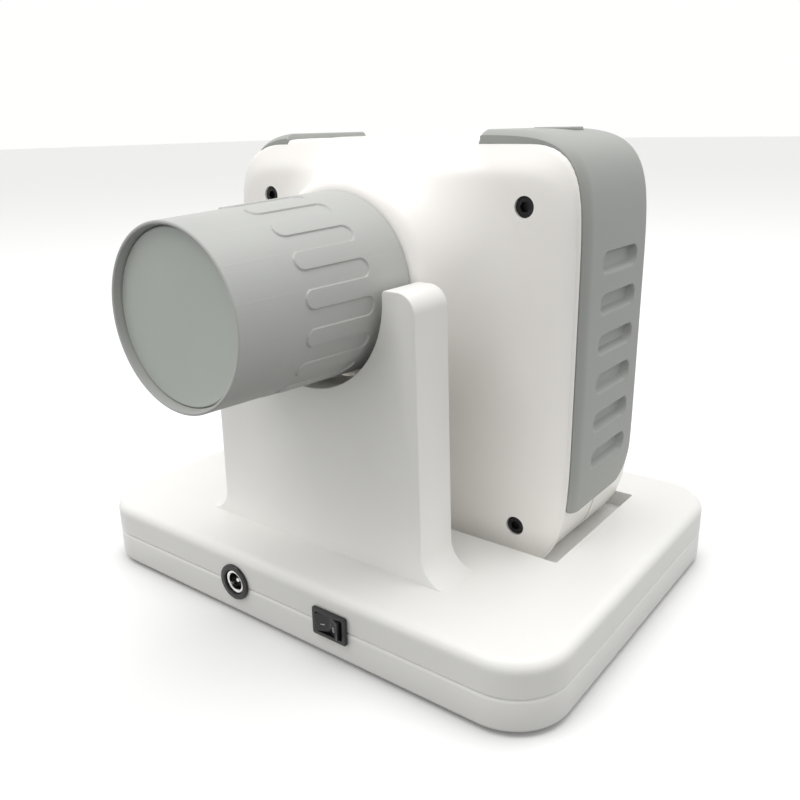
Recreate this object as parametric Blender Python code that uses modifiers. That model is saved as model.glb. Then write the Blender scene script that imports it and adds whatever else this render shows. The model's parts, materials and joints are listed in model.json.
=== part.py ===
"""Handheld intraoral xray unit standing in its charging dock, for Blender 4.5. Metres, +Z up.

The origin is on the table under the middle of the dock. The cone, the power jack and the switch face -Y.
"""

import math

import bmesh
import bpy

GAP = 0.0003

# Dock
DOCK_WIDTH = 0.210
DOCK_DEPTH = 0.155
DOCK_CORNER = 0.0203
FOOT_DROP = 0.0015
SEAM_Z = 0.0138
DECK_Z = 0.0259
DECK_EDGE = 0.0035
DOCK_WALL = 0.0025
POCKET_HALF_WIDTH = 0.0785
POCKET_FRONT = -0.0156
POCKET_BACK = 0.0531
POCKET_FLOOR = 0.0194
POCKET_WALL = 0.002
FOOT_RADIUS = 0.0075
FOOT_X = 0.085
FOOT_Y = 0.058
DOCK_SCREW_X = 0.091
DOCK_SCREW_Y = 0.044
JACK_X = -0.0205
JACK_Z = 0.0143
SWITCH_X = 0.0269
SWITCH_Z = 0.0143
ROCKER_LENGTH = 0.0106
ROCKER_RISE = 0.0026
ROCKER_TILT = 5.4
ROCKER_HALF_HEIGHT = 0.0034
JACK_HOLE_RADIUS = 0.0061
JACK_FLANGE_RADIUS = 0.0070
JACK_BODY_RADIUS = 0.0058
JACK_MOUTH_RADIUS = 0.0048
JACK_PROUD = 0.0012
JACK_SLEEVE_RADIUS = 0.0045
JACK_SLEEVE_BORE = 0.0037
JACK_PIN_RADIUS = 0.0010
SWITCH_HOLE = (0.0136, 0.0092)
SWITCH_FLANGE = (0.0149, 0.0105)
SWITCH_BARREL = (0.0129, 0.0086)
SWITCH_WELL = (0.0117, 0.0074)
SWITCH_PROUD = 0.0016
SWITCH_DEPTH = 0.0130
DOCK_POST_RADIUS = 0.0038
DOCK_SCREW_HOLE_RADIUS = 0.0019
DOCK_SCREW_RADIUS = 0.0015
DOCK_SCREW_HEAD_RADIUS = 0.0030
PIN_HOLE_RADIUS = 0.0019
CHARGING_BOARD_LOW = (-0.060, -0.062, 0.0062)
CHARGING_BOARD_HIGH = (0.060, -0.024, 0.0078)

# Cradle
CRADLE_FRONT = -0.055
CRADLE_BACK = -0.0368
CRADLE_TOP_HALF = 0.0466
CRADLE_FOOT_HALF = 0.0483
CRADLE_CORNER = 0.0068
CRADLE_EDGE = 0.0008
CRADLE_WALL = 0.0028
CRADLE_TOP = 0.125
CRADLE_NOTCH = 0.034

# Cone
CONE_Z = 0.1215
CONE_FRONT = -0.1089
CONE_BACK = -0.0364
CONE_FRONT_RADIUS = 0.0285
CONE_BACK_RADIUS = 0.0312
CONE_SPIGOT_RADIUS = 0.0294
CONE_SPIGOT_END = -0.014
CONE_BORE = 0.0245
WINDOW_RADIUS = 0.0266
WINDOW_FACE = -0.1064
WINDOW_THICKNESS = 0.002
LINER_RADIUS = 0.0242
LINER_BORE = 0.0227
LINER_BACK = -0.0165
LINER_FRONT = -0.1020
COLLIMATOR_RADIUS = 0.0285
COLLIMATOR_BORE = 0.0080
COLLIMATOR_BACK = -0.0105
COLLIMATOR_FRONT = -0.0135
BOSS_RADIUS = 0.0385
BOSS_FRONT = -0.036
BOSS_BORE = 0.0298
BOSS_FLARE = 0.005
BOSS_EDGE = 0.004
BOSS_ROOT = -0.0050
BOSS_CORE = 0.026

# Handheld unit
UNIT_BOTTOM = 0.0198
UNIT_WAIST = 0.085
UNIT_HALF_WIDTH = 0.0767
UNIT_RISE = 0.0845
UNIT_DROP = 0.0755
UNIT_TOP_EXPONENT = 8.0
UNIT_FOOT_EXPONENT = 5.1
FACE_Y = -0.010
PARTING_Y = 0.022
REAR_Y = 0.054
UNIT_WALL = 0.0032
OPEN_END = 0.001
GRIP_FRONT = -0.003
GRIP_REAR = 0.0458
GRIP_PROUD = 0.0022
GRIP_SUNK = 0.0012
GRIP_END_PROUD = 0.0005
GRIP_END_SLOPE = 0.0018
GRIP_CHAMFER = 0.0035
GRIP_LEFT_INNER_X = 0.053
GRIP_RIGHT_INNER_X = 0.0376
GRIP_LOW_Z = 0.0378
GRIP_FRONT_CORNER = 0.006
GRIP_REAR_CORNER = 0.015
SLOT_COUNT = 6
SLOT_TOP_Z = 0.1279
SLOT_PITCH = 0.01434
SLOT_FRONT = 0.0084
SLOT_REAR = 0.0378
SLOT_HEIGHT = 0.0066
SLOT_DEPTH = 0.002
SCREW_X = 0.0583
SCREW_LOW_Z = 0.0321
SCREW_HIGH_Z = 0.1474
SCREW_RADIUS = 0.0020
SCREW_HEAD_RADIUS = 0.0036
SCREW_HEAD_FACE = -0.0094
SCREW_SEAT = -0.0036
SCREW_END = 0.0180
SCREW_SOCKET_RADIUS = 0.0016
SCREW_SOCKET_DEPTH = 0.0020
SCREW_POST_RADIUS = 0.0060
COUNTERBORE_RADIUS = 0.0039
SHANK_HOLE_RADIUS = 0.0023
TRIGGER_X = 0.0485
TRIGGER_Y = 0.0315
TRIGGER_LENGTH = 0.017
TRIGGER_WIDTH = 0.010
TRIGGER_BOTTOM = 0.1695
TRIGGER_TOP = 0.1719
TRIGGER_CORNER = 0.003
TRIGGER_CLEARANCE = 0.0004
DISPLAY_Z = 0.122
DISPLAY_WIDTH = 0.066
DISPLAY_HEIGHT = 0.044
KEY_Z = 0.076
KEY_PITCH = 0.024
KEY_RADIUS = 0.0065
KEY_CLEARANCE = 0.0004
KEY_BACK = 0.0515
KEY_PROUD = 0.0012
CONTACT_X = 0.020
CONTACT_Y = 0.036
CONTACT_PAD_RADIUS = 0.0030
CONTACT_HOLE_RADIUS = 0.0034
TANK_HALF_WIDTH = 0.033
TANK_HALF_HEIGHT = 0.030
TANK_WALL = 0.003
TUBE_Y = 0.0150
TUBE_RADIUS = 0.0094
TUBE_BORE = 0.0084
TUBE_HALF_LENGTH = 0.0190

# Colour, roughness, metallic
FINISHES = {
    "white_plastic": ((0.86, 0.85, 0.83), 0.38, 0.0),
    "grey_soft_touch": ((0.34, 0.36, 0.36), 0.62, 0.0),
    "lens_grey": ((0.30, 0.34, 0.32), 0.30, 0.0),
    "black_gloss": ((0.012, 0.012, 0.013), 0.18, 0.0),
    "black_steel": ((0.02, 0.02, 0.022), 0.35, 1.0),
    "chrome": ((0.80, 0.80, 0.80), 0.12, 1.0),
    "rubber": ((0.03, 0.03, 0.03), 0.85, 0.0),
    "circuit_board": ((0.02, 0.16, 0.07), 0.45, 0.0),
    "lead": ((0.25, 0.26, 0.28), 0.55, 1.0),
    "aluminium": ((0.75, 0.76, 0.77), 0.35, 1.0),
    "copper": ((0.80, 0.38, 0.22), 0.30, 1.0),
    "brass": ((0.75, 0.56, 0.22), 0.28, 1.0),
    "glass": ((0.80, 0.86, 0.88), 0.05, 0.0),
    "battery_wrap": ((0.05, 0.12, 0.30), 0.50, 0.0),
    "display_black": ((0.01, 0.012, 0.016), 0.10, 0.0),
    "key_grey": ((0.42, 0.44, 0.45), 0.50, 0.0),
}


def clear_scene():
    for obj in list(bpy.data.objects):
        bpy.data.objects.remove(obj)


def new_collection(name):
    collection = bpy.data.collections.new(name)
    bpy.context.scene.collection.children.link(collection)
    return collection


def make_material(name):
    colour, roughness, metallic = FINISHES[name]
    material = bpy.data.materials.new(name)
    material.use_nodes = True
    shader = material.node_tree.nodes["Principled BSDF"]
    shader.inputs["Base Color"].default_value = (*colour, 1.0)
    shader.inputs["Roughness"].default_value = roughness
    shader.inputs["Metallic"].default_value = metallic
    return material


def add_object(name, mesh, finish):
    """A part with a finish, or a cutter when the finish is None."""
    obj = bpy.data.objects.new(name, mesh)
    if finish is None:
        CUTTERS.objects.link(obj)
        obj.hide_render = True
        obj.display_type = "WIRE"
        return obj
    mesh.materials.clear()
    mesh.materials.append(MATERIALS[finish])
    PARTS.objects.link(obj)
    return obj


def soften(obj, angle=35):
    obj.data.shade_smooth()
    obj.data.set_sharp_from_angle(angle=math.radians(angle))


def bevel(obj, width, segments=2, angle=50):
    modifier = obj.modifiers.new("rounded edges", "BEVEL")
    modifier.width = width
    modifier.segments = segments
    modifier.limit_method = "ANGLE"
    modifier.angle_limit = math.radians(angle)


def combine(obj, other, operation):
    modifier = obj.modifiers.new(operation.lower(), "BOOLEAN")
    modifier.operation = operation
    modifier.object = other
    modifier.solver = "EXACT"


def cut(obj, *cutters):
    for cutter in cutters:
        combine(obj, cutter, "DIFFERENCE")


def arc(centre, radius, start, end, steps):
    """Points along an arc, with angles in degrees."""
    points = []
    for step in range(steps + 1):
        angle = math.radians(start + (end - start) * step / steps)
        points.append((centre[0] + radius * math.cos(angle), centre[1] + radius * math.sin(angle)))
    return points


def rounded_rectangle(centre, width, height, radius, steps=6):
    points = []
    for sign_x, sign_y, start in ((1, 1, 0), (-1, 1, 90), (-1, -1, 180), (1, -1, 270)):
        corner = (
            centre[0] + sign_x * (width / 2 - radius),
            centre[1] + sign_y * (height / 2 - radius),
        )
        points += arc(corner, radius, start, start + 90, steps)
    return points


def rectangle(centre, width, height):
    left = centre[0] - width / 2
    right = centre[0] + width / 2
    low = centre[1] - height / 2
    high = centre[1] + height / 2
    return [(left, low), (right, low), (right, high), (left, high)]


PLANE_TURNS = {"XY": (0, 0, 0), "XZ": (90, 0, 0), "YZ": (90, 0, 90)}


def plate(name, outline, low, high, plane, finish):
    """A flat outline in the named plane, extruded along the third axis from low to high."""
    curve = bpy.data.curves.new(name, "CURVE")
    curve.dimensions = "2D"
    curve.fill_mode = "BOTH"
    curve.extrude = (high - low) / 2
    spline = curve.splines.new("POLY")
    spline.points.add(len(outline) - 1)
    for point, (x, y) in zip(spline.points, outline):
        point.co = (x, y, 0, 1)
    spline.use_cyclic_u = True
    guide = bpy.data.objects.new(name + "_outline", curve)
    bpy.context.scene.collection.objects.link(guide)
    bpy.context.view_layer.update()
    evaluated = guide.evaluated_get(bpy.context.evaluated_depsgraph_get())
    mesh = bpy.data.meshes.new_from_object(evaluated)
    bpy.data.objects.remove(guide)
    shape = bmesh.new()
    shape.from_mesh(mesh)
    bmesh.ops.remove_doubles(shape, verts=shape.verts, dist=1e-6)
    bmesh.ops.dissolve_limit(shape, angle_limit=math.radians(1), verts=shape.verts, edges=shape.edges)
    shape.to_mesh(mesh)
    shape.free()
    obj = add_object(name, mesh, finish)
    middle = (low + high) / 2
    place = {"XY": (0, 0, middle), "XZ": (0, middle, 0), "YZ": (middle, 0, 0)}[plane]
    obj.location = place
    obj.rotation_euler = [math.radians(turn) for turn in PLANE_TURNS[plane]]
    return obj


def turned(name, profile, steps, place, turn, finish, closed=True):
    """A profile of (radius, height) points, running down its outer side, turned about the local Z axis."""
    edges = [(index, index + 1) for index in range(len(profile) - 1)]
    if closed:
        edges.append((len(profile) - 1, 0))
    mesh = bpy.data.meshes.new(name)
    mesh.from_pydata([(radius, 0, height) for radius, height in profile], edges, [])
    obj = add_object(name, mesh, finish)
    obj.location = place
    obj.rotation_euler = [math.radians(angle) for angle in turn]
    screw = obj.modifiers.new("turned", "SCREW")
    screw.axis = "Z"
    screw.steps = steps
    screw.render_steps = steps
    screw.use_merge_vertices = True
    screw.merge_threshold = 1e-5
    screw.use_smooth_shade = True
    return obj


def along_y(name, profile, finish, x=0.0, z=CONE_Z, steps=48, closed=True):
    """A turned piece whose profile is (radius, y), running from the back to the front on its outer side."""
    flipped = [(radius, -y) for radius, y in reversed(profile)]
    return turned(name, flipped, steps, (x, 0, z), (90, 0, 0), finish, closed)


def rod(name, centre, radius, low, high, axis, finish, steps=24):
    """A round rod along X, Y or Z, from low to high. Centre gives the other two coordinates."""
    shape = bmesh.new()
    bmesh.ops.create_cone(
        shape, cap_ends=True, segments=steps, radius1=radius, radius2=radius, depth=high - low
    )
    mesh = bpy.data.meshes.new(name)
    shape.to_mesh(mesh)
    shape.free()
    obj = add_object(name, mesh, finish)
    middle = (low + high) / 2
    if axis == "Z":
        obj.location = (centre[0], centre[1], middle)
    elif axis == "Y":
        obj.location = (centre[0], middle, centre[1])
        obj.rotation_euler = (math.radians(90), 0, 0)
    else:
        obj.location = (middle, centre[0], centre[1])
        obj.rotation_euler = (0, math.radians(90), 0)
    soften(obj)
    return obj


def block(name, low, high, finish):
    shape = bmesh.new()
    bmesh.ops.create_cube(shape, size=1.0)
    size = [top - bottom for bottom, top in zip(low, high)]
    bmesh.ops.scale(shape, vec=size, verts=shape.verts)
    mesh = bpy.data.meshes.new(name)
    shape.to_mesh(mesh)
    shape.free()
    obj = add_object(name, mesh, finish)
    obj.location = [(top + bottom) / 2 for bottom, top in zip(low, high)]
    return obj


def outline_point(angle, half_width, rise, drop):
    """A point of the unit's outline. The angle runs from 0 at the right side to 90 at the top."""
    cosine = math.cos(math.radians(angle))
    sine = math.sin(math.radians(angle))
    power = 2 / (UNIT_TOP_EXPONENT if sine > 0 else UNIT_FOOT_EXPONENT)
    x = half_width * math.copysign(abs(cosine) ** power, cosine)
    height = rise if sine > 0 else drop
    return x, UNIT_WAIST + height * math.copysign(abs(sine) ** power, sine)


def foot_angle(drop):
    """The outline angle where the outline meets the flat foot."""
    share = (UNIT_WAIST - UNIT_BOTTOM) / drop
    return -math.degrees(math.asin(share ** (UNIT_FOOT_EXPONENT / 2)))


OUTLINE_ANGLES = (2, 8, 17, 27, 37, 45, 53, 63, 73, 82, 88)


def unit_outline(side, top, bottom):
    """The unit's outline in X and Z, drawn in by three insets. It runs anticlockwise from the right foot."""
    half_width = UNIT_HALF_WIDTH - side
    rise = UNIT_RISE - top
    drop = UNIT_DROP - side * 0.5
    low = foot_angle(drop)
    right = [(low * share) for share in (1.0, 0.8, 0.58, 0.36, 0.14)] + list(OUTLINE_ANGLES)
    points = [outline_point(angle, half_width, rise, drop) for angle in right]
    points = [(x, max(z, UNIT_BOTTOM + bottom)) for x, z in points]
    return points + [(-x, z) for x, z in reversed(points)]


def loft(name, rings, finish):
    """A closed solid through rings of (y, outline), from the front to the back, with flat ends."""
    shape = bmesh.new()
    loops = [[shape.verts.new((x, y, z)) for x, z in outline] for y, outline in rings]
    for front, back in zip(loops, loops[1:]):
        count = len(front)
        for index in range(count):
            follow = (index + 1) % count
            shape.faces.new((front[index], front[follow], back[follow], back[index]))
    shape.faces.new(list(reversed(loops[0])))
    shape.faces.new(loops[-1])
    bmesh.ops.recalc_face_normals(shape, faces=shape.faces)
    mesh = bpy.data.meshes.new(name)
    shape.to_mesh(mesh)
    shape.free()
    obj = add_object(name, mesh, finish)
    soften(obj, 40)
    return obj


# Insets of the unit's outline at each depth: y, side, top, foot
FRONT_RINGS = (
    (FACE_Y, 0.0030, 0.0112, 0.0),
    (-0.0088, 0.0012, 0.0085, 0.0),
    (-0.0060, 0.0003, 0.0042, 0.0),
    (-0.0035, 0.0, 0.0010, 0.0),
    (0.0, 0.0, 0.0, 0.0),
    (PARTING_Y, 0.0, 0.0, 0.0),
)
REAR_RINGS = (
    (PARTING_Y + GAP, 0.0, 0.0, 0.0),
    (0.0484, 0.0, 0.0, 0.0),
    (0.0496, -0.0014, 0.0003, 0.0),
    (0.0515, -0.0004, 0.0016, 0.0010),
    (0.0530, 0.0028, 0.0040, 0.0080),
    (REAR_Y, 0.0070, 0.0080, 0.0160),
)


def shell(name, rings, front_wall, rear_wall, finish):
    """One half of the unit's casing: a lofted body with a hollow that ends a wall before each end."""
    body = loft(name, [(y, unit_outline(side, top, foot)) for y, side, top, foot in rings], finish)
    low = rings[0][0] + front_wall
    high = rings[-1][0] - rear_wall
    middle = [ring for ring in rings[1:-1] if low < ring[0] < high]
    hollow = []
    for y, side, top, foot in [(low, *rings[0][1:]), *middle, (high, *rings[-1][1:])]:
        outline = unit_outline(side + UNIT_WALL, top + UNIT_WALL, foot)
        hollow.append((y, [(x, max(z, UNIT_BOTTOM + foot + UNIT_WALL)) for x, z in outline]))
    cut(body, loft(name + "_hollow", hollow, None))
    return body


def top_angle(x):
    """The outline angle on the top of the unit at a distance from its middle."""
    return math.degrees(math.acos((x / UNIT_HALF_WIDTH) ** (UNIT_TOP_EXPONENT / 2)))


def grip_stations(inner_x):
    """Angles of the unit's outline from the grip's end on the top to its low end on the side."""
    ends = [top_angle(inner_x), top_angle(inner_x + GRIP_END_SLOPE)]
    share = (UNIT_WAIST - GRIP_LOW_Z) / UNIT_DROP
    low_angle = -math.degrees(math.asin(share ** (UNIT_FOOT_EXPONENT / 2)))
    between = [angle for angle in reversed(OUTLINE_ANGLES) if angle < ends[1] - 1]
    below = [low_angle * part for part in (0.05, 0.2, 0.42, 0.66, 0.86, 0.95)]
    return ends + between + below + [low_angle]


def outline_offset(angle, offset):
    """A point moved outwards from the unit's outline by an offset."""
    step = 0.5
    x, z = outline_point(angle, UNIT_HALF_WIDTH, UNIT_RISE, UNIT_DROP)
    x_after, z_after = outline_point(angle + step, UNIT_HALF_WIDTH, UNIT_RISE, UNIT_DROP)
    x_before, z_before = outline_point(angle - step, UNIT_HALF_WIDTH, UNIT_RISE, UNIT_DROP)
    run = x_after - x_before
    climb = z_after - z_before
    length = math.hypot(run, climb)
    return x + offset * climb / length, z - offset * run / length


def corner_setback(distance, radius):
    """How far a rounded corner of this radius draws the edge in, at a distance from the band's end."""
    if distance >= radius:
        return 0.0
    return radius - math.sqrt(radius * radius - (radius - distance) ** 2)


def grip_band(name, mirror, inner_x, grow, finish):
    """The soft band that wraps from the top of the unit over its corner and down its side."""
    shape = bmesh.new()
    sections = []
    angles = grip_stations(inner_x)
    low_end = outline_offset(angles[-1], 0)[1]
    for position, angle in enumerate(angles):
        x, z = outline_offset(angle, 0)
        from_low_end = z - low_end
        front = GRIP_FRONT + corner_setback(from_low_end, GRIP_FRONT_CORNER) - grow
        rear = GRIP_REAR - corner_setback(from_low_end, GRIP_REAR_CORNER) + grow
        proud = GRIP_PROUD if position else GRIP_END_PROUD
        inner = -GRIP_SUNK - grow
        outer = proud + grow
        section = (
            (front, inner),
            (front, GAP + grow),
            (front + GRIP_CHAMFER, outer),
            (rear - proud / 2, outer),
            (rear, outer - proud / 2),
            (rear, inner),
        )
        stretch = grow if position in (0, len(angles) - 1) else 0.0
        corners = []
        for y, offset in section:
            px, pz = outline_offset(angle, offset)
            if position == 0:
                px -= stretch
            elif stretch:
                pz -= stretch
            corners.append(shape.verts.new((mirror * px, y, pz)))
        sections.append(corners)
    for before, after in zip(sections, sections[1:]):
        count = len(before)
        for index in range(count):
            follow = (index + 1) % count
            shape.faces.new((before[index], before[follow], after[follow], after[index]))
    shape.faces.new(sections[0])
    shape.faces.new(list(reversed(sections[-1])))
    bmesh.ops.recalc_face_normals(shape, faces=shape.faces)
    mesh = bpy.data.meshes.new(name)
    shape.to_mesh(mesh)
    shape.free()
    obj = add_object(name, mesh, finish)
    soften(obj, 30)
    return obj


def dock_housings():
    outline = rounded_rectangle((0, 0), DOCK_WIDTH, DOCK_DEPTH, DOCK_CORNER)
    inside = rounded_rectangle(
        (0, 0), DOCK_WIDTH - 2 * DOCK_WALL, DOCK_DEPTH - 2 * DOCK_WALL, DOCK_CORNER - DOCK_WALL
    )
    around = rounded_rectangle((0, 0), DOCK_WIDTH + 0.01, DOCK_DEPTH + 0.01, DOCK_CORNER)
    above_seam = SEAM_Z + 0.010

    lower = plate("base_lower_housing", outline, FOOT_DROP, above_seam, "XY", "white_plastic")
    bevel(lower, 0.0015)
    cut(lower, plate("lower_trim", around, SEAM_Z - GAP, above_seam + 0.005, "XY", None))
    cut(lower, plate("lower_hollow", inside, FOOT_DROP + DOCK_WALL, above_seam, "XY", None))

    below_seam = SEAM_Z - 0.006
    upper = plate("base_upper_housing", outline, below_seam, DECK_Z, "XY", "white_plastic")
    bevel(upper, DECK_EDGE, 3)
    middle = (POCKET_FRONT + POCKET_BACK) / 2
    depth = POCKET_BACK - POCKET_FRONT
    block_outline = rectangle((0, middle), 2 * (POCKET_HALF_WIDTH + POCKET_WALL), depth + 2 * POCKET_WALL)
    hollow = plate("upper_hollow", inside, below_seam, DECK_Z - DOCK_WALL, "XY", None)
    cut(hollow, plate("pocket_block", block_outline, POCKET_FLOOR - POCKET_WALL, 0.040, "XY", None))
    for index, (x, y) in enumerate(corner_places(DOCK_SCREW_X, DOCK_SCREW_Y), 1):
        cut(hollow, rod(f"post_{index}", (x, y), DOCK_POST_RADIUS, 0.0, 0.040, "Z", None, 12))
    pocket = rectangle((0, middle), 2 * POCKET_HALF_WIDTH, depth)
    cut(upper, hollow)
    cut(upper, plate("upper_trim", around, below_seam - 0.005, SEAM_Z, "XY", None))
    cut(upper, plate("pocket", pocket, POCKET_FLOOR, 0.040, "XY", None))

    jack_hole = rod("jack_hole", (JACK_X, JACK_Z), JACK_HOLE_RADIUS, -0.0800, -0.0700, "Y", None)
    switch_hole = plate(
        "switch_hole", rectangle((SWITCH_X, SWITCH_Z), *SWITCH_HOLE), -0.0800, -0.0700, "XZ", None
    )
    cut(lower, jack_hole, switch_hole)
    cut(upper, jack_hole, switch_hole)

    for index, (x, y) in enumerate(corner_places(DOCK_SCREW_X, DOCK_SCREW_Y), 1):
        cut(lower, rod(f"screw_hole_{index}", (x, y), DOCK_SCREW_HOLE_RADIUS, 0.0, 0.0100, "Z", None, 12))
        cut(upper, rod(f"thread_hole_{index}", (x, y), DOCK_SCREW_HOLE_RADIUS, 0.0, 0.0225, "Z", None, 12))
    for side in (-1, 1):
        place = (side * CONTACT_X, CONTACT_Y)
        cut(upper, rod(f"pin_hole_{side}", place, PIN_HOLE_RADIUS, 0.010, 0.030, "Z", None, 12))


def dock_fasteners_and_feet():
    for index, (x, y) in enumerate(corner_places(DOCK_SCREW_X, DOCK_SCREW_Y), 1):
        profile = [
            (0.0, 0.0212),
            (DOCK_SCREW_RADIUS, 0.0212),
            (DOCK_SCREW_RADIUS, FOOT_DROP - GAP),
            (DOCK_SCREW_HEAD_RADIUS, FOOT_DROP - GAP),
            (DOCK_SCREW_HEAD_RADIUS, FOOT_DROP - 0.0012),
            (0.0, FOOT_DROP - 0.0012),
        ]
        turned(f"base_screw_{index}", profile, 12, (x, y, 0), (0, 0, 0), "black_steel", closed=False)
    for index, (x, y) in enumerate(corner_places(FOOT_X, FOOT_Y), 1):
        rod(f"rubber_foot_{index}", (x, y), FOOT_RADIUS, 0.0, FOOT_DROP - GAP, "Z", "rubber", 24)


def dock_power_parts():
    front = -DOCK_DEPTH / 2
    body = along_y(
        "dc_jack_body",
        [
            (JACK_MOUTH_RADIUS, front + 0.0100),
            (JACK_BODY_RADIUS, front + 0.0100),
            (JACK_BODY_RADIUS, front - GAP),
            (JACK_FLANGE_RADIUS, front - GAP),
            (JACK_FLANGE_RADIUS, front - JACK_PROUD),
            (JACK_MOUTH_RADIUS, front - JACK_PROUD),
        ],
        "black_gloss",
        JACK_X,
        JACK_Z,
        24,
    )
    back = rod("jack_back", (JACK_X, JACK_Z), 0.0052, front + 0.0094, front + 0.0130, "Y", None, 24)
    combine(body, back, "UNION")
    cut(body, rod("pin_seat", (JACK_X, JACK_Z), 0.0014, front + 0.0050, front + 0.0110, "Y", None, 12))
    along_y(
        "dc_jack_sleeve",
        [
            (JACK_SLEEVE_BORE, front + 0.0088),
            (JACK_SLEEVE_RADIUS, front + 0.0088),
            (JACK_SLEEVE_RADIUS, front + 0.0004),
            (JACK_SLEEVE_BORE, front + 0.0004),
        ],
        "chrome",
        JACK_X,
        JACK_Z,
        24,
    )
    rod("dc_jack_pin", (JACK_X, JACK_Z), JACK_PIN_RADIUS, front + 0.0010, front + 0.0106, "Y", "chrome", 12)

    place = (SWITCH_X, SWITCH_Z)
    flange = rounded_rectangle(place, *SWITCH_FLANGE, 0.0008, 2)
    frame = plate("rocker_switch_frame", flange, front - SWITCH_PROUD, front - GAP, "XZ", "black_gloss")
    barrel_outline = rectangle(place, *SWITCH_BARREL)
    barrel = plate("switch_barrel", barrel_outline, front - 0.0010, front + SWITCH_DEPTH, "XZ", None)
    combine(frame, barrel, "UNION")
    well_outline = rectangle(place, *SWITCH_WELL)
    cut(frame, plate("switch_well", well_outline, front - 0.0050, front + 0.0110, "XZ", None))

    half = ROCKER_LENGTH / 2
    rocker_outline = [
        (-0.0018, -0.0060),
        (0.0018, -0.0060),
        (half, -0.0006),
        (half, ROCKER_RISE),
        (0.0, 0.0006),
        (-half, ROCKER_RISE),
        (-half, -0.0006),
    ]
    rocker = plate(
        "rocker_switch_lever", rocker_outline, -ROCKER_HALF_HEIGHT, ROCKER_HALF_HEIGHT, "XY", "black_gloss"
    )
    rocker.location = (SWITCH_X, front, SWITCH_Z)
    rocker.rotation_euler = (math.radians(180), 0, math.radians(ROCKER_TILT))

    block("charging_board", CHARGING_BOARD_LOW, CHARGING_BOARD_HIGH, "circuit_board")
    for side, label in ((-1, "left"), (1, "right")):
        profile = [
            (0.0, UNIT_BOTTOM + 0.0007),
            (0.0010, UNIT_BOTTOM + 0.0007),
            (0.0015, POCKET_FLOOR + 0.0001),
            (0.0015, 0.0160),
            (0.0026, 0.0160),
            (0.0026, 0.0120),
            (0.0, 0.0120),
        ]
        place = (side * CONTACT_X, CONTACT_Y, 0)
        turned(f"charge_pin_{label}", profile, 12, place, (0, 0, 0), "brass", closed=False)


def corner_places(x, y):
    return ((-x, -y), (x, -y), (x, y), (-x, y))


def cradle():
    """The upright that the cone lies in: a hollow moulding with a U-shaped notch."""

    def notched(inset, low, high):
        top_half = CRADLE_TOP_HALF - inset
        foot_half = CRADLE_FOOT_HALF - inset
        notch = CRADLE_NOTCH + inset
        corner = CRADLE_CORNER - inset
        right = [(foot_half, low)]
        right += arc((top_half - corner, high - corner), corner, 0, 90, 4)
        right += [(notch, high)]
        left = [(-x, z) for x, z in reversed(right)]
        return right + arc((0, CONE_Z), notch, 0, -180, 16) + left

    foot = DECK_Z + GAP
    outline = notched(0, foot, CRADLE_TOP)
    upright = plate("cone_cradle", outline, CRADLE_FRONT, CRADLE_BACK, "XZ", "white_plastic")
    bevel(upright, CRADLE_EDGE)
    core = plate(
        "cradle_hollow",
        notched(CRADLE_WALL, foot - 0.010, CRADLE_TOP - CRADLE_WALL),
        CRADLE_FRONT + CRADLE_WALL,
        CRADLE_BACK - CRADLE_WALL,
        "XZ",
        None,
    )
    cut(upright, core)


def cone():
    lip = CONE_FRONT
    sleeve = [
        (CONE_BORE, CONE_SPIGOT_END),
        (CONE_SPIGOT_RADIUS, CONE_SPIGOT_END),
        (CONE_SPIGOT_RADIUS, CONE_BACK),
        (CONE_BACK_RADIUS, CONE_BACK),
        (CONE_FRONT_RADIUS, lip + 0.0006),
        (CONE_FRONT_RADIUS - 0.0006, lip),
        (CONE_FRONT_RADIUS - 0.0012, lip),
        (WINDOW_RADIUS + GAP, WINDOW_FACE),
        (WINDOW_RADIUS + GAP, WINDOW_FACE + WINDOW_THICKNESS + GAP),
        (CONE_BORE, WINDOW_FACE + WINDOW_THICKNESS + GAP),
    ]
    along_y("cone_sleeve", sleeve, "grey_soft_touch")
    window_back = WINDOW_FACE + WINDOW_THICKNESS
    rod("cone_window", (0, CONE_Z), WINDOW_RADIUS, WINDOW_FACE, window_back, "Y", "lens_grey", 48)
    liner = [
        (LINER_BORE, LINER_BACK),
        (LINER_RADIUS, LINER_BACK),
        (LINER_RADIUS, LINER_FRONT),
        (LINER_BORE, LINER_FRONT),
    ]
    along_y("lead_liner", liner, "lead", steps=32)
    collimator = [
        (COLLIMATOR_BORE, COLLIMATOR_BACK),
        (COLLIMATOR_RADIUS, COLLIMATOR_BACK),
        (COLLIMATOR_RADIUS, COLLIMATOR_FRONT),
        (COLLIMATOR_BORE, COLLIMATOR_FRONT),
    ]
    along_y("collimator_ring", collimator, "lead", steps=32)
    rod("beam_filter", (0, CONE_Z), 0.0120, -0.0090, -0.0075, "Y", "aluminium", 24)


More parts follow.
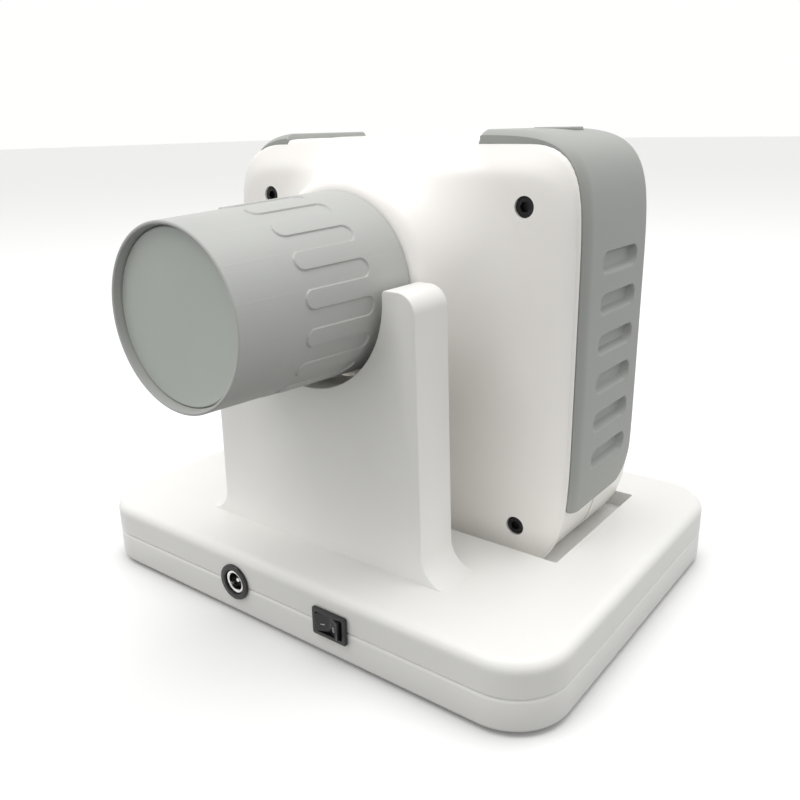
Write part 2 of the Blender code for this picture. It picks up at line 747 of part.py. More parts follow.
def front_shell():
    casing = shell("front_shell", FRONT_RINGS, UNIT_WALL, -OPEN_END, "white_plastic")
    flare = BOSS_FLARE
    root_radius = BOSS_RADIUS + flare
    boss_profile = [(BOSS_CORE, BOSS_ROOT), (root_radius, BOSS_ROOT), (root_radius, FACE_Y + 0.0006)]
    boss_profile += [
        (root_radius + x, FACE_Y - flare - y) for x, y in arc((0, 0), flare, 240, 180, 2)
    ]
    edge = BOSS_EDGE
    boss_profile += [
        (BOSS_RADIUS - edge + x, BOSS_FRONT + edge - y) for x, y in arc((0, 0), edge, 0, 90, 3)
    ]
    boss_profile += [(BOSS_CORE, BOSS_FRONT)]
    boss = along_y("boss", boss_profile, None, steps=40)
    combine(casing, boss, "UNION")
    cut(casing, rod("boss_bore", (0, CONE_Z), BOSS_BORE, -0.050, 0.0, "Y", None, 36))
    for index, (x, z) in enumerate(screw_places(), 1):
        post = rod(f"front_post_{index}", (x, z), SCREW_POST_RADIUS, -0.0085, 0.0205, "Y", None, 16)
        combine(casing, post, "UNION")
        cut(casing, rod(f"counterbore_{index}", (x, z), COUNTERBORE_RADIUS, -0.0150, -0.0032, "Y", None, 20))
        cut(casing, rod(f"shank_hole_{index}", (x, z), SHANK_HOLE_RADIUS, -0.0060, 0.0300, "Y", None, 12))
    return casing


def screw_places():
    return (
        (-SCREW_X, SCREW_LOW_Z),
        (SCREW_X, SCREW_LOW_Z),
        (SCREW_X, SCREW_HIGH_Z),
        (-SCREW_X, SCREW_HIGH_Z),
    )


def rear_shell():
    casing = shell("rear_shell", REAR_RINGS, -OPEN_END, UNIT_WALL, "white_plastic")
    window = rounded_rectangle((0, DISPLAY_Z), DISPLAY_WIDTH, DISPLAY_HEIGHT, 0.004, 3)
    cut(casing, plate("display_hole", window, 0.045, 0.060, "XZ", None))
    for index, x in enumerate(key_places(), 1):
        hole_radius = KEY_RADIUS + KEY_CLEARANCE
        cut(casing, rod(f"key_hole_{index}", (x, KEY_Z), hole_radius, 0.045, 0.060, "Y", None, 20))
    for side in (-1, 1):
        place = (side * CONTACT_X, CONTACT_Y)
        cut(casing, rod(f"contact_hole_{side}", place, CONTACT_HOLE_RADIUS, 0.015, 0.030, "Z", None, 16))
    return casing


def key_places():
    return [KEY_PITCH * (index - 1.5) for index in range(4)]


def casing_screws():
    for index, (x, z) in enumerate(screw_places(), 1):
        profile = [
            (0.0, SCREW_END),
            (SCREW_RADIUS, SCREW_END),
            (SCREW_RADIUS, SCREW_SEAT),
            (SCREW_HEAD_RADIUS, SCREW_SEAT),
            (SCREW_HEAD_RADIUS, SCREW_HEAD_FACE),
            (SCREW_SOCKET_RADIUS, SCREW_HEAD_FACE),
            (SCREW_SOCKET_RADIUS, SCREW_HEAD_FACE + SCREW_SOCKET_DEPTH),
            (0.0, SCREW_HEAD_FACE + SCREW_SOCKET_DEPTH),
        ]
        along_y(f"casing_screw_{index}", profile, "black_steel", x, z, 18, closed=False)


def grips(front, rear):
    for mirror, label, inner_x in ((-1, "left", GRIP_LEFT_INNER_X), (1, "right", GRIP_RIGHT_INNER_X)):
        channel = grip_band(f"{label}_channel", mirror, inner_x, GAP, None)
        cut(front, channel)
        cut(rear, channel)
        grip = grip_band(f"{label}_grip", mirror, inner_x, 0.0, "grey_soft_touch")
        for index in range(SLOT_COUNT):
            z = SLOT_TOP_Z - SLOT_PITCH * index
            outline = rounded_rectangle(
                ((SLOT_FRONT + SLOT_REAR) / 2, z), SLOT_REAR - SLOT_FRONT, SLOT_HEIGHT, SLOT_HEIGHT / 2, 3
            )
            face_x = outline_at_height(z) + GRIP_PROUD
            low, high = sorted((mirror * (face_x - SLOT_DEPTH), mirror * (face_x + 0.01)))
            cut(grip, plate(f"{label}_slot_{index + 1}", outline, low, high, "YZ", None))
        if label == "right":
            well = rounded_rectangle(
                (TRIGGER_X, TRIGGER_Y),
                TRIGGER_LENGTH + 2 * TRIGGER_CLEARANCE,
                TRIGGER_WIDTH + 2 * TRIGGER_CLEARANCE,
                TRIGGER_CORNER + TRIGGER_CLEARANCE,
                3,
            )
            cut(grip, plate("trigger_well", well, 0.160, 0.180, "XY", None))


def outline_at_height(z):
    """Half the unit's width at a height."""
    above = z > UNIT_WAIST
    share = abs(z - UNIT_WAIST) / (UNIT_RISE if above else UNIT_DROP)
    exponent = UNIT_TOP_EXPONENT if above else UNIT_FOOT_EXPONENT
    return UNIT_HALF_WIDTH * (1 - share ** exponent) ** (1 / exponent)


def buttons():
    trigger = rounded_rectangle((0, 0), TRIGGER_LENGTH, TRIGGER_WIDTH, TRIGGER_CORNER, 3)
    half = (TRIGGER_TOP - TRIGGER_BOTTOM) / 2
    button = plate("exposure_button", trigger, -half, half, "XY", "grey_soft_touch")
    button.location = (TRIGGER_X, TRIGGER_Y, (TRIGGER_TOP + TRIGGER_BOTTOM) / 2)
    bevel(button, 0.0005, 1)
    for name, x in zip(("power_button", "up_button", "down_button", "set_button"), key_places()):
        key = rod(name, (x, KEY_Z), KEY_RADIUS, KEY_BACK, REAR_Y + KEY_PROUD, "Y", "key_grey", 20)
        bevel(key, 0.0005, 1)


def rear_panel():
    window = rounded_rectangle((0, DISPLAY_Z), DISPLAY_WIDTH - 0.0006, DISPLAY_HEIGHT - 0.0006, 0.0037, 3)
    plate("display_window", window, REAR_Y - 0.0018, REAR_Y - 0.0003, "XZ", "glass")
    panel = rounded_rectangle((0, DISPLAY_Z), 0.062, 0.040, 0.001, 1)
    plate("display_module", panel, 0.0470, REAR_Y - 0.0022, "XZ", "display_black")
    block("keypad_board", (-0.046, 0.0465, KEY_Z - 0.010), (0.046, 0.0478, KEY_Z + 0.010), "circuit_board")


def internals():
    width = 2 * TANK_HALF_WIDTH
    height = 2 * TANK_HALF_HEIGHT
    tank_outline = rounded_rectangle((0, CONE_Z), width, height, 2 * TANK_WALL, 3)
    tank = plate("tube_head_housing", tank_outline, -0.0045, 0.0340, "XZ", "lead")
    inner = rounded_rectangle((0, CONE_Z), width - 2 * TANK_WALL, height - 2 * TANK_WALL, TANK_WALL, 2)
    tank_space = plate("tank_space", inner, -0.0015, 0.0310, "XZ", None)
    combine(tank_space, rod("beam_port", (0, CONE_Z), 0.0100, -0.0100, 0.0, "Y", None, 24), "UNION")
    cut(tank, tank_space)

    envelope = [
        (TUBE_BORE, TUBE_HALF_LENGTH),
        (TUBE_RADIUS, TUBE_HALF_LENGTH),
        (TUBE_RADIUS, -TUBE_HALF_LENGTH),
        (TUBE_BORE, -TUBE_HALF_LENGTH),
    ]
    turned("xray_tube_envelope", envelope, 24, (0, TUBE_Y, CONE_Z), (0, 90, 0), "glass")
    anode = rod("anode", (TUBE_Y, CONE_Z), 0.0060, 0.0010, 0.0180, "X", "copper", 20)
    slope = block("anode_slope", (-0.010, -0.020, -0.010), (0.0, 0.020, 0.010), None)
    slope.location = (-0.0025, TUBE_Y, CONE_Z)
    slope.rotation_euler = (0, 0, math.radians(-20))
    cut(anode, slope)
    rod("cathode_cup", (TUBE_Y, CONE_Z), 0.0045, -0.0180, -0.0080, "X", "aluminium", 16)

    block("high_voltage_board", (-0.030, 0.0000, 0.0800), (0.030, 0.0300, 0.0816), "circuit_board")
    block("main_board", (-0.046, 0.0400, 0.0600), (0.046, 0.0416, 0.1500), "circuit_board")
    pack = rounded_rectangle((0, 0.0160), 0.092, 0.030, 0.004, 3)
    plate("battery_pack", pack, 0.0260, 0.0600, "XY", "battery_wrap")
    block(
        "exposure_switch",
        (TRIGGER_X - 0.006, TRIGGER_Y - 0.003, 0.1530),
        (TRIGGER_X + 0.006, TRIGGER_Y + 0.003, 0.1600),
        "display_black",
    )
    for side, label in ((-1, "left"), (1, "right")):
        place = (side * CONTACT_X, CONTACT_Y)
        low = UNIT_BOTTOM + 0.0010
        high = UNIT_BOTTOM + 0.0036
        rod(f"contact_pad_{label}", place, CONTACT_PAD_RADIUS, low, high, "Z", "brass", 16)


clear_scene()
PARTS = new_collection("intraoral_xray_unit")
CUTTERS = new_collection("cutters")
MATERIALS = {name: make_material(name) for name in FINISHES}

dock_housings()
dock_fasteners_and_feet()
dock_power_parts()
cradle()
cone()
FRONT = front_shell()
REAR = rear_shell()
grips(FRONT, REAR)
casing_screws()
buttons()
rear_panel()
internals()
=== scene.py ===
"""Looks of a handheld intraoral xray unit standing in its charging dock.

Metres, +Z up. The origin is on the table under the middle of the dock, and the cone faces -Y.
"""

import json
import math

import bmesh
import bpy
import numpy as np
from mathutils import Matrix, Vector


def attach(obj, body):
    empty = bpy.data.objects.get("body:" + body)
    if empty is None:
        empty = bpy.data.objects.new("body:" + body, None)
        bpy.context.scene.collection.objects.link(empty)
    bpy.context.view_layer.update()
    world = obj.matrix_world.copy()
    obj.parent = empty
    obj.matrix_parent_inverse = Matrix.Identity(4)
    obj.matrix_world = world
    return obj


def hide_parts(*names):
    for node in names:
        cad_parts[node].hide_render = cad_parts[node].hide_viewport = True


GAP = 0.0003

# Dock
DOCK_HALF = (0.105, 0.0775)
DOCK_CORNER = 0.0203
DOCK_WALL = 0.0025
FOOT_DROP = 0.0015
SEAM_Z = 0.0138
DECK_Z = 0.0259
DECK_EDGE = 0.0038
POCKET_HALF_WIDTH = 0.0785
POCKET_FRONT = -0.0156
POCKET_BACK = 0.0531
POCKET_FLOOR = 0.0194
POCKET_WALL = 0.002
CRADLE_FRONT = -0.055
CRADLE_BACK = -0.0368
CRADLE_TOP_HALF = 0.0466
CRADLE_FOOT_HALF = 0.0483
CRADLE_TOP = 0.125
CRADLE_NOTCH = 0.034
CRADLE_EDGE = 0.0005
CRADLE_CORNER = 0.0068
CRADLE_NOTCH_CORNER = 0.0016
CRADLE_FLARE = 0.010
JACK_X = -0.0205
JACK_Z = 0.0143
SWITCH_X = 0.0269
SWITCH_Z = 0.0143
ROCKER_TILT = 5.4
PORT_CUT = 0.01
JACK_HOLE = 0.0061
JACK_BODY = 0.0058
JACK_BEZEL = 0.0070
JACK_MOUTH = 0.0047
JACK_PROUD = 0.0012
JACK_SEAT_BORE = 0.0012
JACK_SLEEVE = (0.0033, 0.0045)
JACK_PIN = 0.0010
SWITCH_HOLE = (0.0136, 0.0092)
SWITCH_BEZEL = (0.0149, 0.0105)
SWITCH_BARREL = (0.0129, 0.0086)
SWITCH_WELL = (0.0117, 0.0074)
ROCKER_HALF_LENGTH = 0.0053
ROCKER_HALF_HEIGHT = 0.0034
ROCKER_DIP = 0.0006
ROCKER_RISE = 0.0020
ROCKER_CURVE = 1.25
ROCKER_MARK = 0.0030
TRAY_EDGE = 0.0014
SEAM_LIP = (0.0007, 0.0020)
PIN_HOLE = 0.0019
CONTACT_X = 0.020
CONTACT_Y = 0.036

# Cone
CONE_Z = 0.1215
CONE_FRONT = -0.1089
CONE_BACK = -0.0364
CONE_FRONT_RADIUS = 0.0285
CONE_BACK_RADIUS = 0.0312
CONE_BORE = 0.0245
SPIGOT_RADIUS = 0.0294
SPIGOT_END = -0.014
SLEEVE_SEGMENTS = 640
WINDOW_RADIUS = 0.0266
WINDOW_FACE = -0.1064
WINDOW_THICKNESS = 0.002
STEP_FRONT = -0.0833
STEP_REAR = -0.0546
STEP_PERIODS = 16
STEP_PHASE = math.radians(-2.5)
STEP_RISE = 0.0005
STEP_WIDTH = 0.00035
STEP_PITCH = 0.0003
STEP_BELOW = 0.35

# Handheld unit
UNIT_BOTTOM = 0.0198
UNIT_WAIST = 0.085
UNIT_HALF_WIDTH = 0.0767
UNIT_RISE = 0.0845
UNIT_DROP = 0.0755
TOP_EXPONENT = 8.0
FOOT_EXPONENT = 5.1
FACE_Y = -0.010
FACE_HALF_WIDTH = 0.0737
FACE_RISE = 0.0733
FACE_DROP = 0.072
FACE_EXPONENT = 10.7
TOP_LEAN = 0.625
SIDE_LEAN = 0.36
FRONT_FLARE = 0.0011
FRONT_EXPONENT = 8.4
PARTING_Y = 0.022
REAR_Y = 0.054
UNIT_WALL = 0.0032
FRONT_TOP_WALL = 0.0115
CASING_OVERLAP = 0.004
BOSS_RADIUS = 0.0355
BOSS_FRONT = -0.036
BOSS_EDGE = 0.0045
BOSS_FILLET = 0.024
BOSS_BORE = 0.0298
OUTLINE_EDGE = 0.001
FACE_EDGE = 0.0012
FACE_BLEND = 0.0022
GRIP_FRONT = -0.0042
GRIP_REAR = 0.0458
GRIP_PROUD = 0.0022
GRIP_SUNK = 0.0024
GRIP_NOSE = 0.0052
GRIP_INNER_X = {"left": 0.053, "right": 0.0376}
GRIP_LOW_Z = 0.0378
GRIP_FRONT_CORNER = 0.006
GRIP_REAR_CORNER = 0.015
GRIP_INNER_EASE = 0.0012
GRIP_LOW_EASE = 0.0016
GRIP_REAR_EDGE = 0.0012
GRIP_LEAST_PROUD = 0.0003
GRIP_PITCH = 0.5
CHANNEL_PITCH = 1.2
SLOT_COUNT = 6
SLOT_TOP_Z = 0.1279
SLOT_PITCH = 0.01434
SLOT_MIDDLE_Y = 0.0231
SLOT_HALF_LENGTH = 0.0147
SLOT_HALF_HEIGHT = 0.0037
SLOT_DEPTH = 0.0028
SLOT_WALL = 0.0015
SLOT_WALL_LEAN = 0.0008
SCREW_X = 0.0583
SCREW_LOW_Z = 0.0321
SCREW_HIGH_Z = 0.1474
SCREW_FACE = -0.0094
SCREW_SEAT = -0.0036
SCREW_HEAD = 0.0034
SCREW_SHANK = 0.0020
SCREW_END = 0.0180
SOCKET_RADIUS = 0.00185
SOCKET_DEPTH = 0.0019
COUNTERBORE = 0.0036
TRIGGER = (0.0485, 0.0315)
TRIGGER_SIZE = (0.017, 0.010)
TRIGGER_CORNER = 0.003
TRIGGER_CLEARANCE = 0.0004
TRIGGER_BOTTOM = 0.1695
TRIGGER_TOP = 0.1719
DISPLAY_Z = 0.122
DISPLAY_SIZE = (0.066, 0.044)
KEY_Z = 0.076
KEY_PITCH = 0.024
KEY_RADIUS = 0.0065
KEY_CLEARANCE = 0.0004
KEY_BACK = 0.0025
KEY_EDGE = 0.0006
KEY_NAMES = ("power_button", "up_button", "down_button", "set_button")

# Light and camera
AIM = (0, 0, 0.07)
HORIZON = (-0.45, -0.02)
GROUND_COLOUR = (0.07, 0.073, 0.07, 1)
SKY_COLOUR = (1.0, 1.0, 0.995, 1)
BRIGHT_SIDE = (-0.61, 0.79, 0.0)
BRIGHT_RANGE = (-0.5, 0.3)
BRIGHTNESS = (0.78, 1.0)
CAMERA_PLACE = (0.1917856, -0.2516032, 0.1733253)
CAMERA_RIGHT = (0.7961784, 0.6047996, -0.0178179)
CAMERA_UP = (-0.1784188, 0.2628115, 0.9482072)
CAMERA_BACK = (0.5781580, -0.7517630, 0.3171525)
FOCAL_LENGTH = 36.9236
SENSOR_WIDTH = 36.0

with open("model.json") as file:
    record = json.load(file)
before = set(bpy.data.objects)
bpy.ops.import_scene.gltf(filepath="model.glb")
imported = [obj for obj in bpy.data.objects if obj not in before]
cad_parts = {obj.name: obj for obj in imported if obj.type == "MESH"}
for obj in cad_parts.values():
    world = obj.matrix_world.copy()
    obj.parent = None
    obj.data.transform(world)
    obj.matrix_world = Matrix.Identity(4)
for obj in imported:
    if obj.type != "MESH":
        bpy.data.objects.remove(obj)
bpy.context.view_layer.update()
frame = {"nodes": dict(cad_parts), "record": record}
NODES = frame["nodes"]


# Materials


def material(name, colour, roughness, metallic=0.0, shade=0.04, grain=0.0, grain_size=0.0008, **sockets):
    """A procedural finish: a soft variation of colour and roughness, and a fine moulded or brushed grain."""
    made = bpy.data.materials.new(name)
    made.use_nodes = True
    tree = made.node_tree
    shader = tree.nodes["Principled BSDF"]
    shader.inputs["Metallic"].default_value = metallic
    for socket, value in sockets.items():
        shader.inputs[socket.replace("_", " ")].default_value = value
    place = tree.nodes.new("ShaderNodeTexCoord")
    cloud = tree.nodes.new("ShaderNodeTexNoise")
    cloud.inputs["Scale"].default_value = 28.0
    cloud.inputs["Detail"].default_value = 3.0
    tree.links.new(place.outputs["Object"], cloud.inputs["Vector"])
    tint = tree.nodes.new("ShaderNodeValToRGB")
    tint.color_ramp.elements[0].position = 0.3
    tint.color_ramp.elements[1].position = 0.7
    tint.color_ramp.elements[0].color = (*[c * (1 - shade) for c in colour], 1)
    tint.color_ramp.elements[1].color = (*[min(1.0, c * (1 + shade)) for c in colour], 1)
    tree.links.new(cloud.outputs["Fac"], tint.inputs["Fac"])
    tree.links.new(tint.outputs["Color"], shader.inputs["Base Color"])
    wear = tree.nodes.new("ShaderNodeMapRange")
    wear.inputs["To Min"].default_value = max(0.02, roughness - 0.04)
    wear.inputs["To Max"].default_value = min(1.0, roughness + 0.04)
    tree.links.new(cloud.outputs["Fac"], wear.inputs["Value"])
    tree.links.new(wear.outputs["Result"], shader.inputs["Roughness"])
    if grain:
        fine = tree.nodes.new("ShaderNodeTexNoise")
        fine.inputs["Scale"].default_value = 1.0 / grain_size
        fine.inputs["Detail"].default_value = 2.0
        bump = tree.nodes.new("ShaderNodeBump")
        bump.inputs["Strength"].default_value = grain
        bump.inputs["Distance"].default_value = 0.0001
        tree.links.new(place.outputs["Object"], fine.inputs["Vector"])
        tree.links.new(fine.outputs["Fac"], bump.inputs["Height"])
        tree.links.new(bump.outputs["Normal"], shader.inputs["Normal"])
    return made


FINISHES = {
    "white_plastic": material("white_moulding", (0.835, 0.83, 0.805), 0.38, shade=0.012, grain=0.12),
    "grey_soft_touch": material(
        "grey_soft_touch", (0.36, 0.37, 0.352), 0.5, shade=0.02, grain=0.35, grain_size=0.0005
    ),
    "window_grey": material("window_grey", (0.47, 0.50, 0.465), 0.38, shade=0.03, grain=0.05),
    "black_plastic": material("black_plastic", (0.010, 0.010, 0.011), 0.26, shade=0.2, grain=0.10),
    "black_steel": material("black_steel", (0.014, 0.014, 0.015), 0.42, 0.5, shade=0.2, grain=0.15),
    "chrome": material("chrome", (0.82, 0.82, 0.82), 0.14, 1.0, shade=0.03),
    "rubber": material("rubber", (0.025, 0.025, 0.026), 0.85, shade=0.2, grain=0.5),
    "circuit_board": material("circuit_board", (0.02, 0.16, 0.07), 0.42, shade=0.25, grain=0.2),
    "brass": material("brass", (0.78, 0.58, 0.25), 0.24, 1.0, shade=0.06),
    "lead": material("lead", (0.24, 0.25, 0.27), 0.55, 0.9, shade=0.12, grain=0.4),
    "aluminium": material("aluminium", (0.72, 0.73, 0.74), 0.34, 1.0, shade=0.05, grain=0.2),
    "copper": material("copper", (0.78, 0.36, 0.20), 0.28, 1.0, shade=0.1),
    "glass": material("tube_glass", (0.80, 0.86, 0.88), 0.08, shade=0.02, Transmission_Weight=0.9),
    "battery_wrap": material("battery_wrap", (0.04, 0.10, 0.28), 0.45, shade=0.1, grain=0.1),
    "display_panel": material("display_panel", (0.010, 0.013, 0.016), 0.20, shade=0.2),
    "display_glass": material("display_glass", (0.012, 0.014, 0.017), 0.07, shade=0.1, Coat_Weight=0.6),
    "key_grey": material("key_grey", (0.36, 0.375, 0.37), 0.46, shade=0.03, grain=0.25),
}
# The handset's white is warmer in tone than the dock's white, which is its own colour. It is also made
# brighter, which is painted light for the extra light the unit's face catches.
HANDSET_WHITE_WITH_PAINTED_LIGHT = material("handset_white_painted_light", (0.93, 0.905, 0.872), 0.36, shade=0.012, grain=0.12)
# The cone's grey is the grips' soft-touch grey made lighter: painted light for the brighter shading the cone
# catches, not a different paint.
CONE_GREY_WITH_PAINTED_LIGHT = material("cone_grey_painted_light", (0.46, 0.467, 0.45), 0.46, shade=0.02, grain=0.3, grain_size=0.0005)
MARKING = material("marking", (0.62, 0.62, 0.60), 0.5, shade=0.05)


# Mesh building


def piece(name, vertices, faces, finish, body, replaces=(), sharp=40):
    """A shown piece that rides on a body. The finish is a slot of the record or a material of its own."""
    mesh = bpy.data.meshes.new(name)
    mesh.from_pydata([tuple(map(float, v)) for v in vertices], [], [tuple(map(int, f)) for f in faces])
    mesh.validate()
    obj = bpy.data.objects.new(name, mesh)
    bpy.context.scene.collection.objects.link(obj)
    mesh.materials.append(FINISHES[finish] if finish in FINISHES else finish)
    mesh.shade_smooth()
    mesh.set_sharp_from_angle(angle=math.radians(sharp))
    if body:
        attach(obj, body)
    if replaces:
        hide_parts(*replaces)
    return obj


def repaint(obj, finish):
    """Gives a piece a lighter copy of its slot's finish; the extra lightness is painted light."""
    obj.data.materials.clear()
    obj.data.materials.append(finish)


def bake_modifiers(obj, sharp=40):
    """Applies the object's modifiers to its mesh."""
    bpy.context.view_layer.update()
    evaluated = obj.evaluated_get(bpy.context.evaluated_depsgraph_get())
    mesh = bpy.data.meshes.new_from_object(evaluated)
    obj.modifiers.clear()
    obj.data = mesh
    mesh.shade_smooth()
    mesh.set_sharp_from_angle(angle=math.radians(sharp))


def round_edges(obj, width, segments=4, angle=40):
    modifier = obj.modifiers.new("round", "BEVEL")
    modifier.width = width
    modifier.segments = segments
    modifier.limit_method = "ANGLE"
    modifier.angle_limit = math.radians(angle)
    modifier.harden_normals = False
    bake_modifiers(obj)


def carve(obj, cutters, sharp=40):
    """Cuts solids out of a piece and deletes them."""
    for cutter in cutters:
        modifier = obj.modifiers.new("cut", "BOOLEAN")
        modifier.operation = "DIFFERENCE"
        modifier.object = cutter
        modifier.solver = "EXACT"
    bake_modifiers(obj, sharp)
    for cutter in cutters:
        bpy.data.objects.remove(cutter)


def smooth_least(a, b, radius):
    """The union of two fields with a concave fillet."""
    u = np.maximum(radius - a, 0)
    v = np.maximum(radius - b, 0)
    return np.maximum(radius, np.minimum(a, b)) - np.hypot(u, v)


def smooth_most(a, b, radius):
    """The intersection of two fields with a rounded edge."""
    u = np.maximum(radius + a, 0)
    v = np.maximum(radius + b, 0)
    return np.minimum(-radius, np.maximum(a, b)) + np.hypot(u, v)


def surface_net(field, low, high, step):
    """Vertices and quads of a distance field's zero surface, sampled on a grid and settled on it."""
    low = np.asarray(low, float)
    counts = np.ceil((np.asarray(high) - low) / step).astype(int) + 1
    axes = [low[k] + step * np.arange(counts[k]) for k in range(3)]
    value = field(np.stack(np.meshgrid(*axes, indexing="ij"), axis=-1))
    cells = counts - 1
    total = np.zeros((*cells, 3))
    hits = np.zeros(cells)
    quads = []
    for axis in range(3):
        across = ((axis + 1) % 3, (axis + 2) % 3)
        start = value[tuple(slice(0, -1) if k == axis else slice(None) for k in range(3))]
        end = value[tuple(slice(1, None) if k == axis else slice(None) for k in range(3))]
        where = np.argwhere((start < 0) != (end < 0))
        first = start[tuple(where.T)]
        share = first / (first - end[tuple(where.T)])
        points = low + step * where.astype(float)
        points[:, axis] += step * share
        around = []
        valid = np.ones(len(where), bool)
        for back_a, back_b in ((1, 1), (0, 1), (0, 0), (1, 0)):
            cell = where.copy()
            cell[:, across[0]] -= back_a
            cell[:, across[1]] -= back_b
            good = ((cell >= 0) & (cell < cells)).all(axis=1)
            np.add.at(total, tuple(cell[good].T), points[good])
            np.add.at(hits, tuple(cell[good].T), 1)
            valid &= good
            around.append(cell)
        for turned_out in (True, False):
            chosen = valid & ((first < 0) == turned_out)
            loop = around if turned_out else around[::-1]
            quads.append(np.stack([np.ravel_multi_index(cell[chosen].T, cells) for cell in loop], axis=1))
    used = hits.ravel() > 0
    number = np.cumsum(used) - 1
    points = total.reshape(-1, 3)[used] / hits.ravel()[used][:, None]
    return settled(field, points), number[np.concatenate(quads)]


def settled(field, points, rounds=4):
    """Points moved onto the field's zero surface."""
    nudge = 2e-5
    for _ in range(rounds):
        rises = [field(points + step) - field(points - step) for step in np.eye(3) * nudge]
        slope = np.stack([rise / (2 * nudge) for rise in rises], axis=-1)
        steepness = np.maximum((slope**2).sum(axis=-1), 0.05)
        points = points - (field(points) / steepness)[:, None] * slope
    return points


def trim(obj, point, normal):
    """Cuts a hollow piece off at a plane and closes the rim between its outer and inner walls."""
    shape = bmesh.new()
    shape.from_mesh(obj.data)
    geometry = list(shape.verts) + list(shape.edges) + list(shape.faces)
    cut = bmesh.ops.bisect_plane(
        shape, geom=geometry, dist=1e-7, plane_co=point, plane_no=normal, clear_outer=True
    )
    rim = [e for e in cut["geom_cut"] if isinstance(e, bmesh.types.BMEdge) and e.is_boundary]
    bmesh.ops.bridge_loops(shape, edges=rim)
    bmesh.ops.recalc_face_normals(shape, faces=shape.faces)
    shape.to_mesh(obj.data)
    shape.free()
    obj.data.shade_smooth()
    obj.data.set_sharp_from_angle(angle=math.radians(40))


def lathe(profile, segments, centre, axis="Y"):
    """Vertices and faces of (radius, position) points turned about an axis. A radius of 0 is a pole."""
    vertices = []
    rings = []
    for radius, along in profile:
        ring = []
        for step in range(segments if radius > 0 else 1):
            angle = 2 * math.pi * step / segments
            a = centre[0] + radius * math.cos(angle)
            b = centre[1] + radius * math.sin(angle)
            ring.append(len(vertices))
            vertices.append((a, along, b) if axis == "Y" else (a, b, along))
        rings.append(ring)
    faces = []
    for one, other in zip(rings, rings[1:]):
        for step in range(segments):
            follow = (step + 1) % segments
            near = (one[step % len(one)], one[follow % len(one)])
            far = (other[follow % len(other)], other[step % len(other)])
            face = list(dict.fromkeys(near + far))
            faces.append(face if axis == "Z" else face[::-1])
    return vertices, faces


def closed_lathe(name, profile, segments, centre, finish, body, replaces=(), axis="Y", sharp=35):
    return piece(name, *lathe([*profile, profile[0]], segments, centre, axis), finish, body, replaces, sharp)


def weld(obj, distance=1e-7):
    shape = bmesh.new()
    shape.from_mesh(obj.data)
    bmesh.ops.remove_doubles(shape, verts=shape.verts, dist=distance)
    bmesh.ops.recalc_face_normals(shape, faces=shape.faces)
    shape.to_mesh(obj.data)
    shape.free()


def rounded_rectangle(centre, width, height, radius, steps=8):
    points = []
    for sign_x, sign_y, start in ((1, 1, 0), (-1, 1, 90), (-1, -1, 180), (1, -1, 270)):
        for step in range(steps + 1):
            angle = math.radians(start + 90 * step / steps)
            x = centre[0] + sign_x * (width / 2 - radius) + radius * math.cos(angle)
            points.append((x, centre[1] + sign_y * (height / 2 - radius) + radius * math.sin(angle)))
    return points


def prism(name, outline, low, high, plane, finish, body, replaces=()):
    """An outline in XY, XZ or YZ, extruded along the third axis."""
    order = {"XY": (0, 1, 2), "XZ": (0, 2, 1), "YZ": (2, 0, 1)}[plane]
    count = len(outline)
    corners = [(a, b, c) for c in (low, high) for a, b in outline]
    vertices = [tuple(corner[k] for k in order) for corner in corners]
    sides = [(k, (k + 1) % count, count + (k + 1) % count, count + k) for k in range(count)]
    faces = [tuple(range(count))[::-1], tuple(range(count, 2 * count)), *sides]
    obj = piece(name, vertices, faces, finish, body, replaces)
    weld(obj)
    return obj


def cutter(name, outline, low, high, plane):
    return prism(name, outline, low, high, plane, "white_plastic", None)


def round_cutter(name, centre, radius, low, high, axis, steps=48):
    angles = [2 * math.pi * k / steps for k in range(steps)]
    outline = [(centre[0] + radius * math.cos(a), centre[1] + radius * math.sin(a)) for a in angles]
    return cutter(name, outline, low, high, {"Y": "XZ", "Z": "XY", "X": "YZ"}[axis])


# Unit outline


def unit_field(x, z, side=0.0, top=0.0, exponent=TOP_EXPONENT):
    """About the distance outside the unit's outline, drawn in at the sides and at the top."""
    above = z > UNIT_WAIST
    half = UNIT_HALF_WIDTH - side
    reach = np.where(above, UNIT_RISE - top, UNIT_DROP - 0.5 * side)
    power = np.where(above, exponent, FOOT_EXPONENT)
    share = (np.abs(x / half) ** power + np.abs((z - UNIT_WAIST) / reach) ** power) ** (1 / power)
    return np.maximum((share - 1) * UNIT_HALF_WIDTH, UNIT_BOTTOM - z)


def outline_point(angle):
    """A point of the unit's outline. The angle runs from 0 at the side to 90 at the top."""
    cosine = math.cos(angle)
    sine = math.sin(angle)
    power = 2 / (TOP_EXPONENT if sine > 0 else FOOT_EXPONENT)
    reach = UNIT_RISE if sine > 0 else UNIT_DROP
    x = UNIT_HALF_WIDTH * math.copysign(abs(cosine) ** power, cosine)
    return x, UNIT_WAIST + reach * math.copysign(abs(sine) ** power, sine)


def grip_path(inner_x, pitch):
    """Evenly spaced points and outward normals from the grip's end on the top to its low end on the side."""
    top = math.acos((inner_x / UNIT_HALF_WIDTH) ** (TOP_EXPONENT / 2))
    share = (UNIT_WAIST - GRIP_LOW_Z) / UNIT_DROP
    low = -math.asin(share ** (FOOT_EXPONENT / 2))
    dense = np.array([outline_point(a) for a in np.linspace(top, low, 6000)])
    travel = np.concatenate([[0], np.cumsum(np.hypot(*np.diff(dense, axis=0).T))])
    stations = np.linspace(0, travel[-1], int(travel[-1] / pitch) + 1)
    x = np.interp(stations, travel, dense[:, 0])
    z = np.interp(stations, travel, dense[:, 1])
    run = np.gradient(x)
    fall = np.gradient(z)
    length = np.hypot(run, fall)
    return stations, x, z, -fall / length, run / length


# Dock


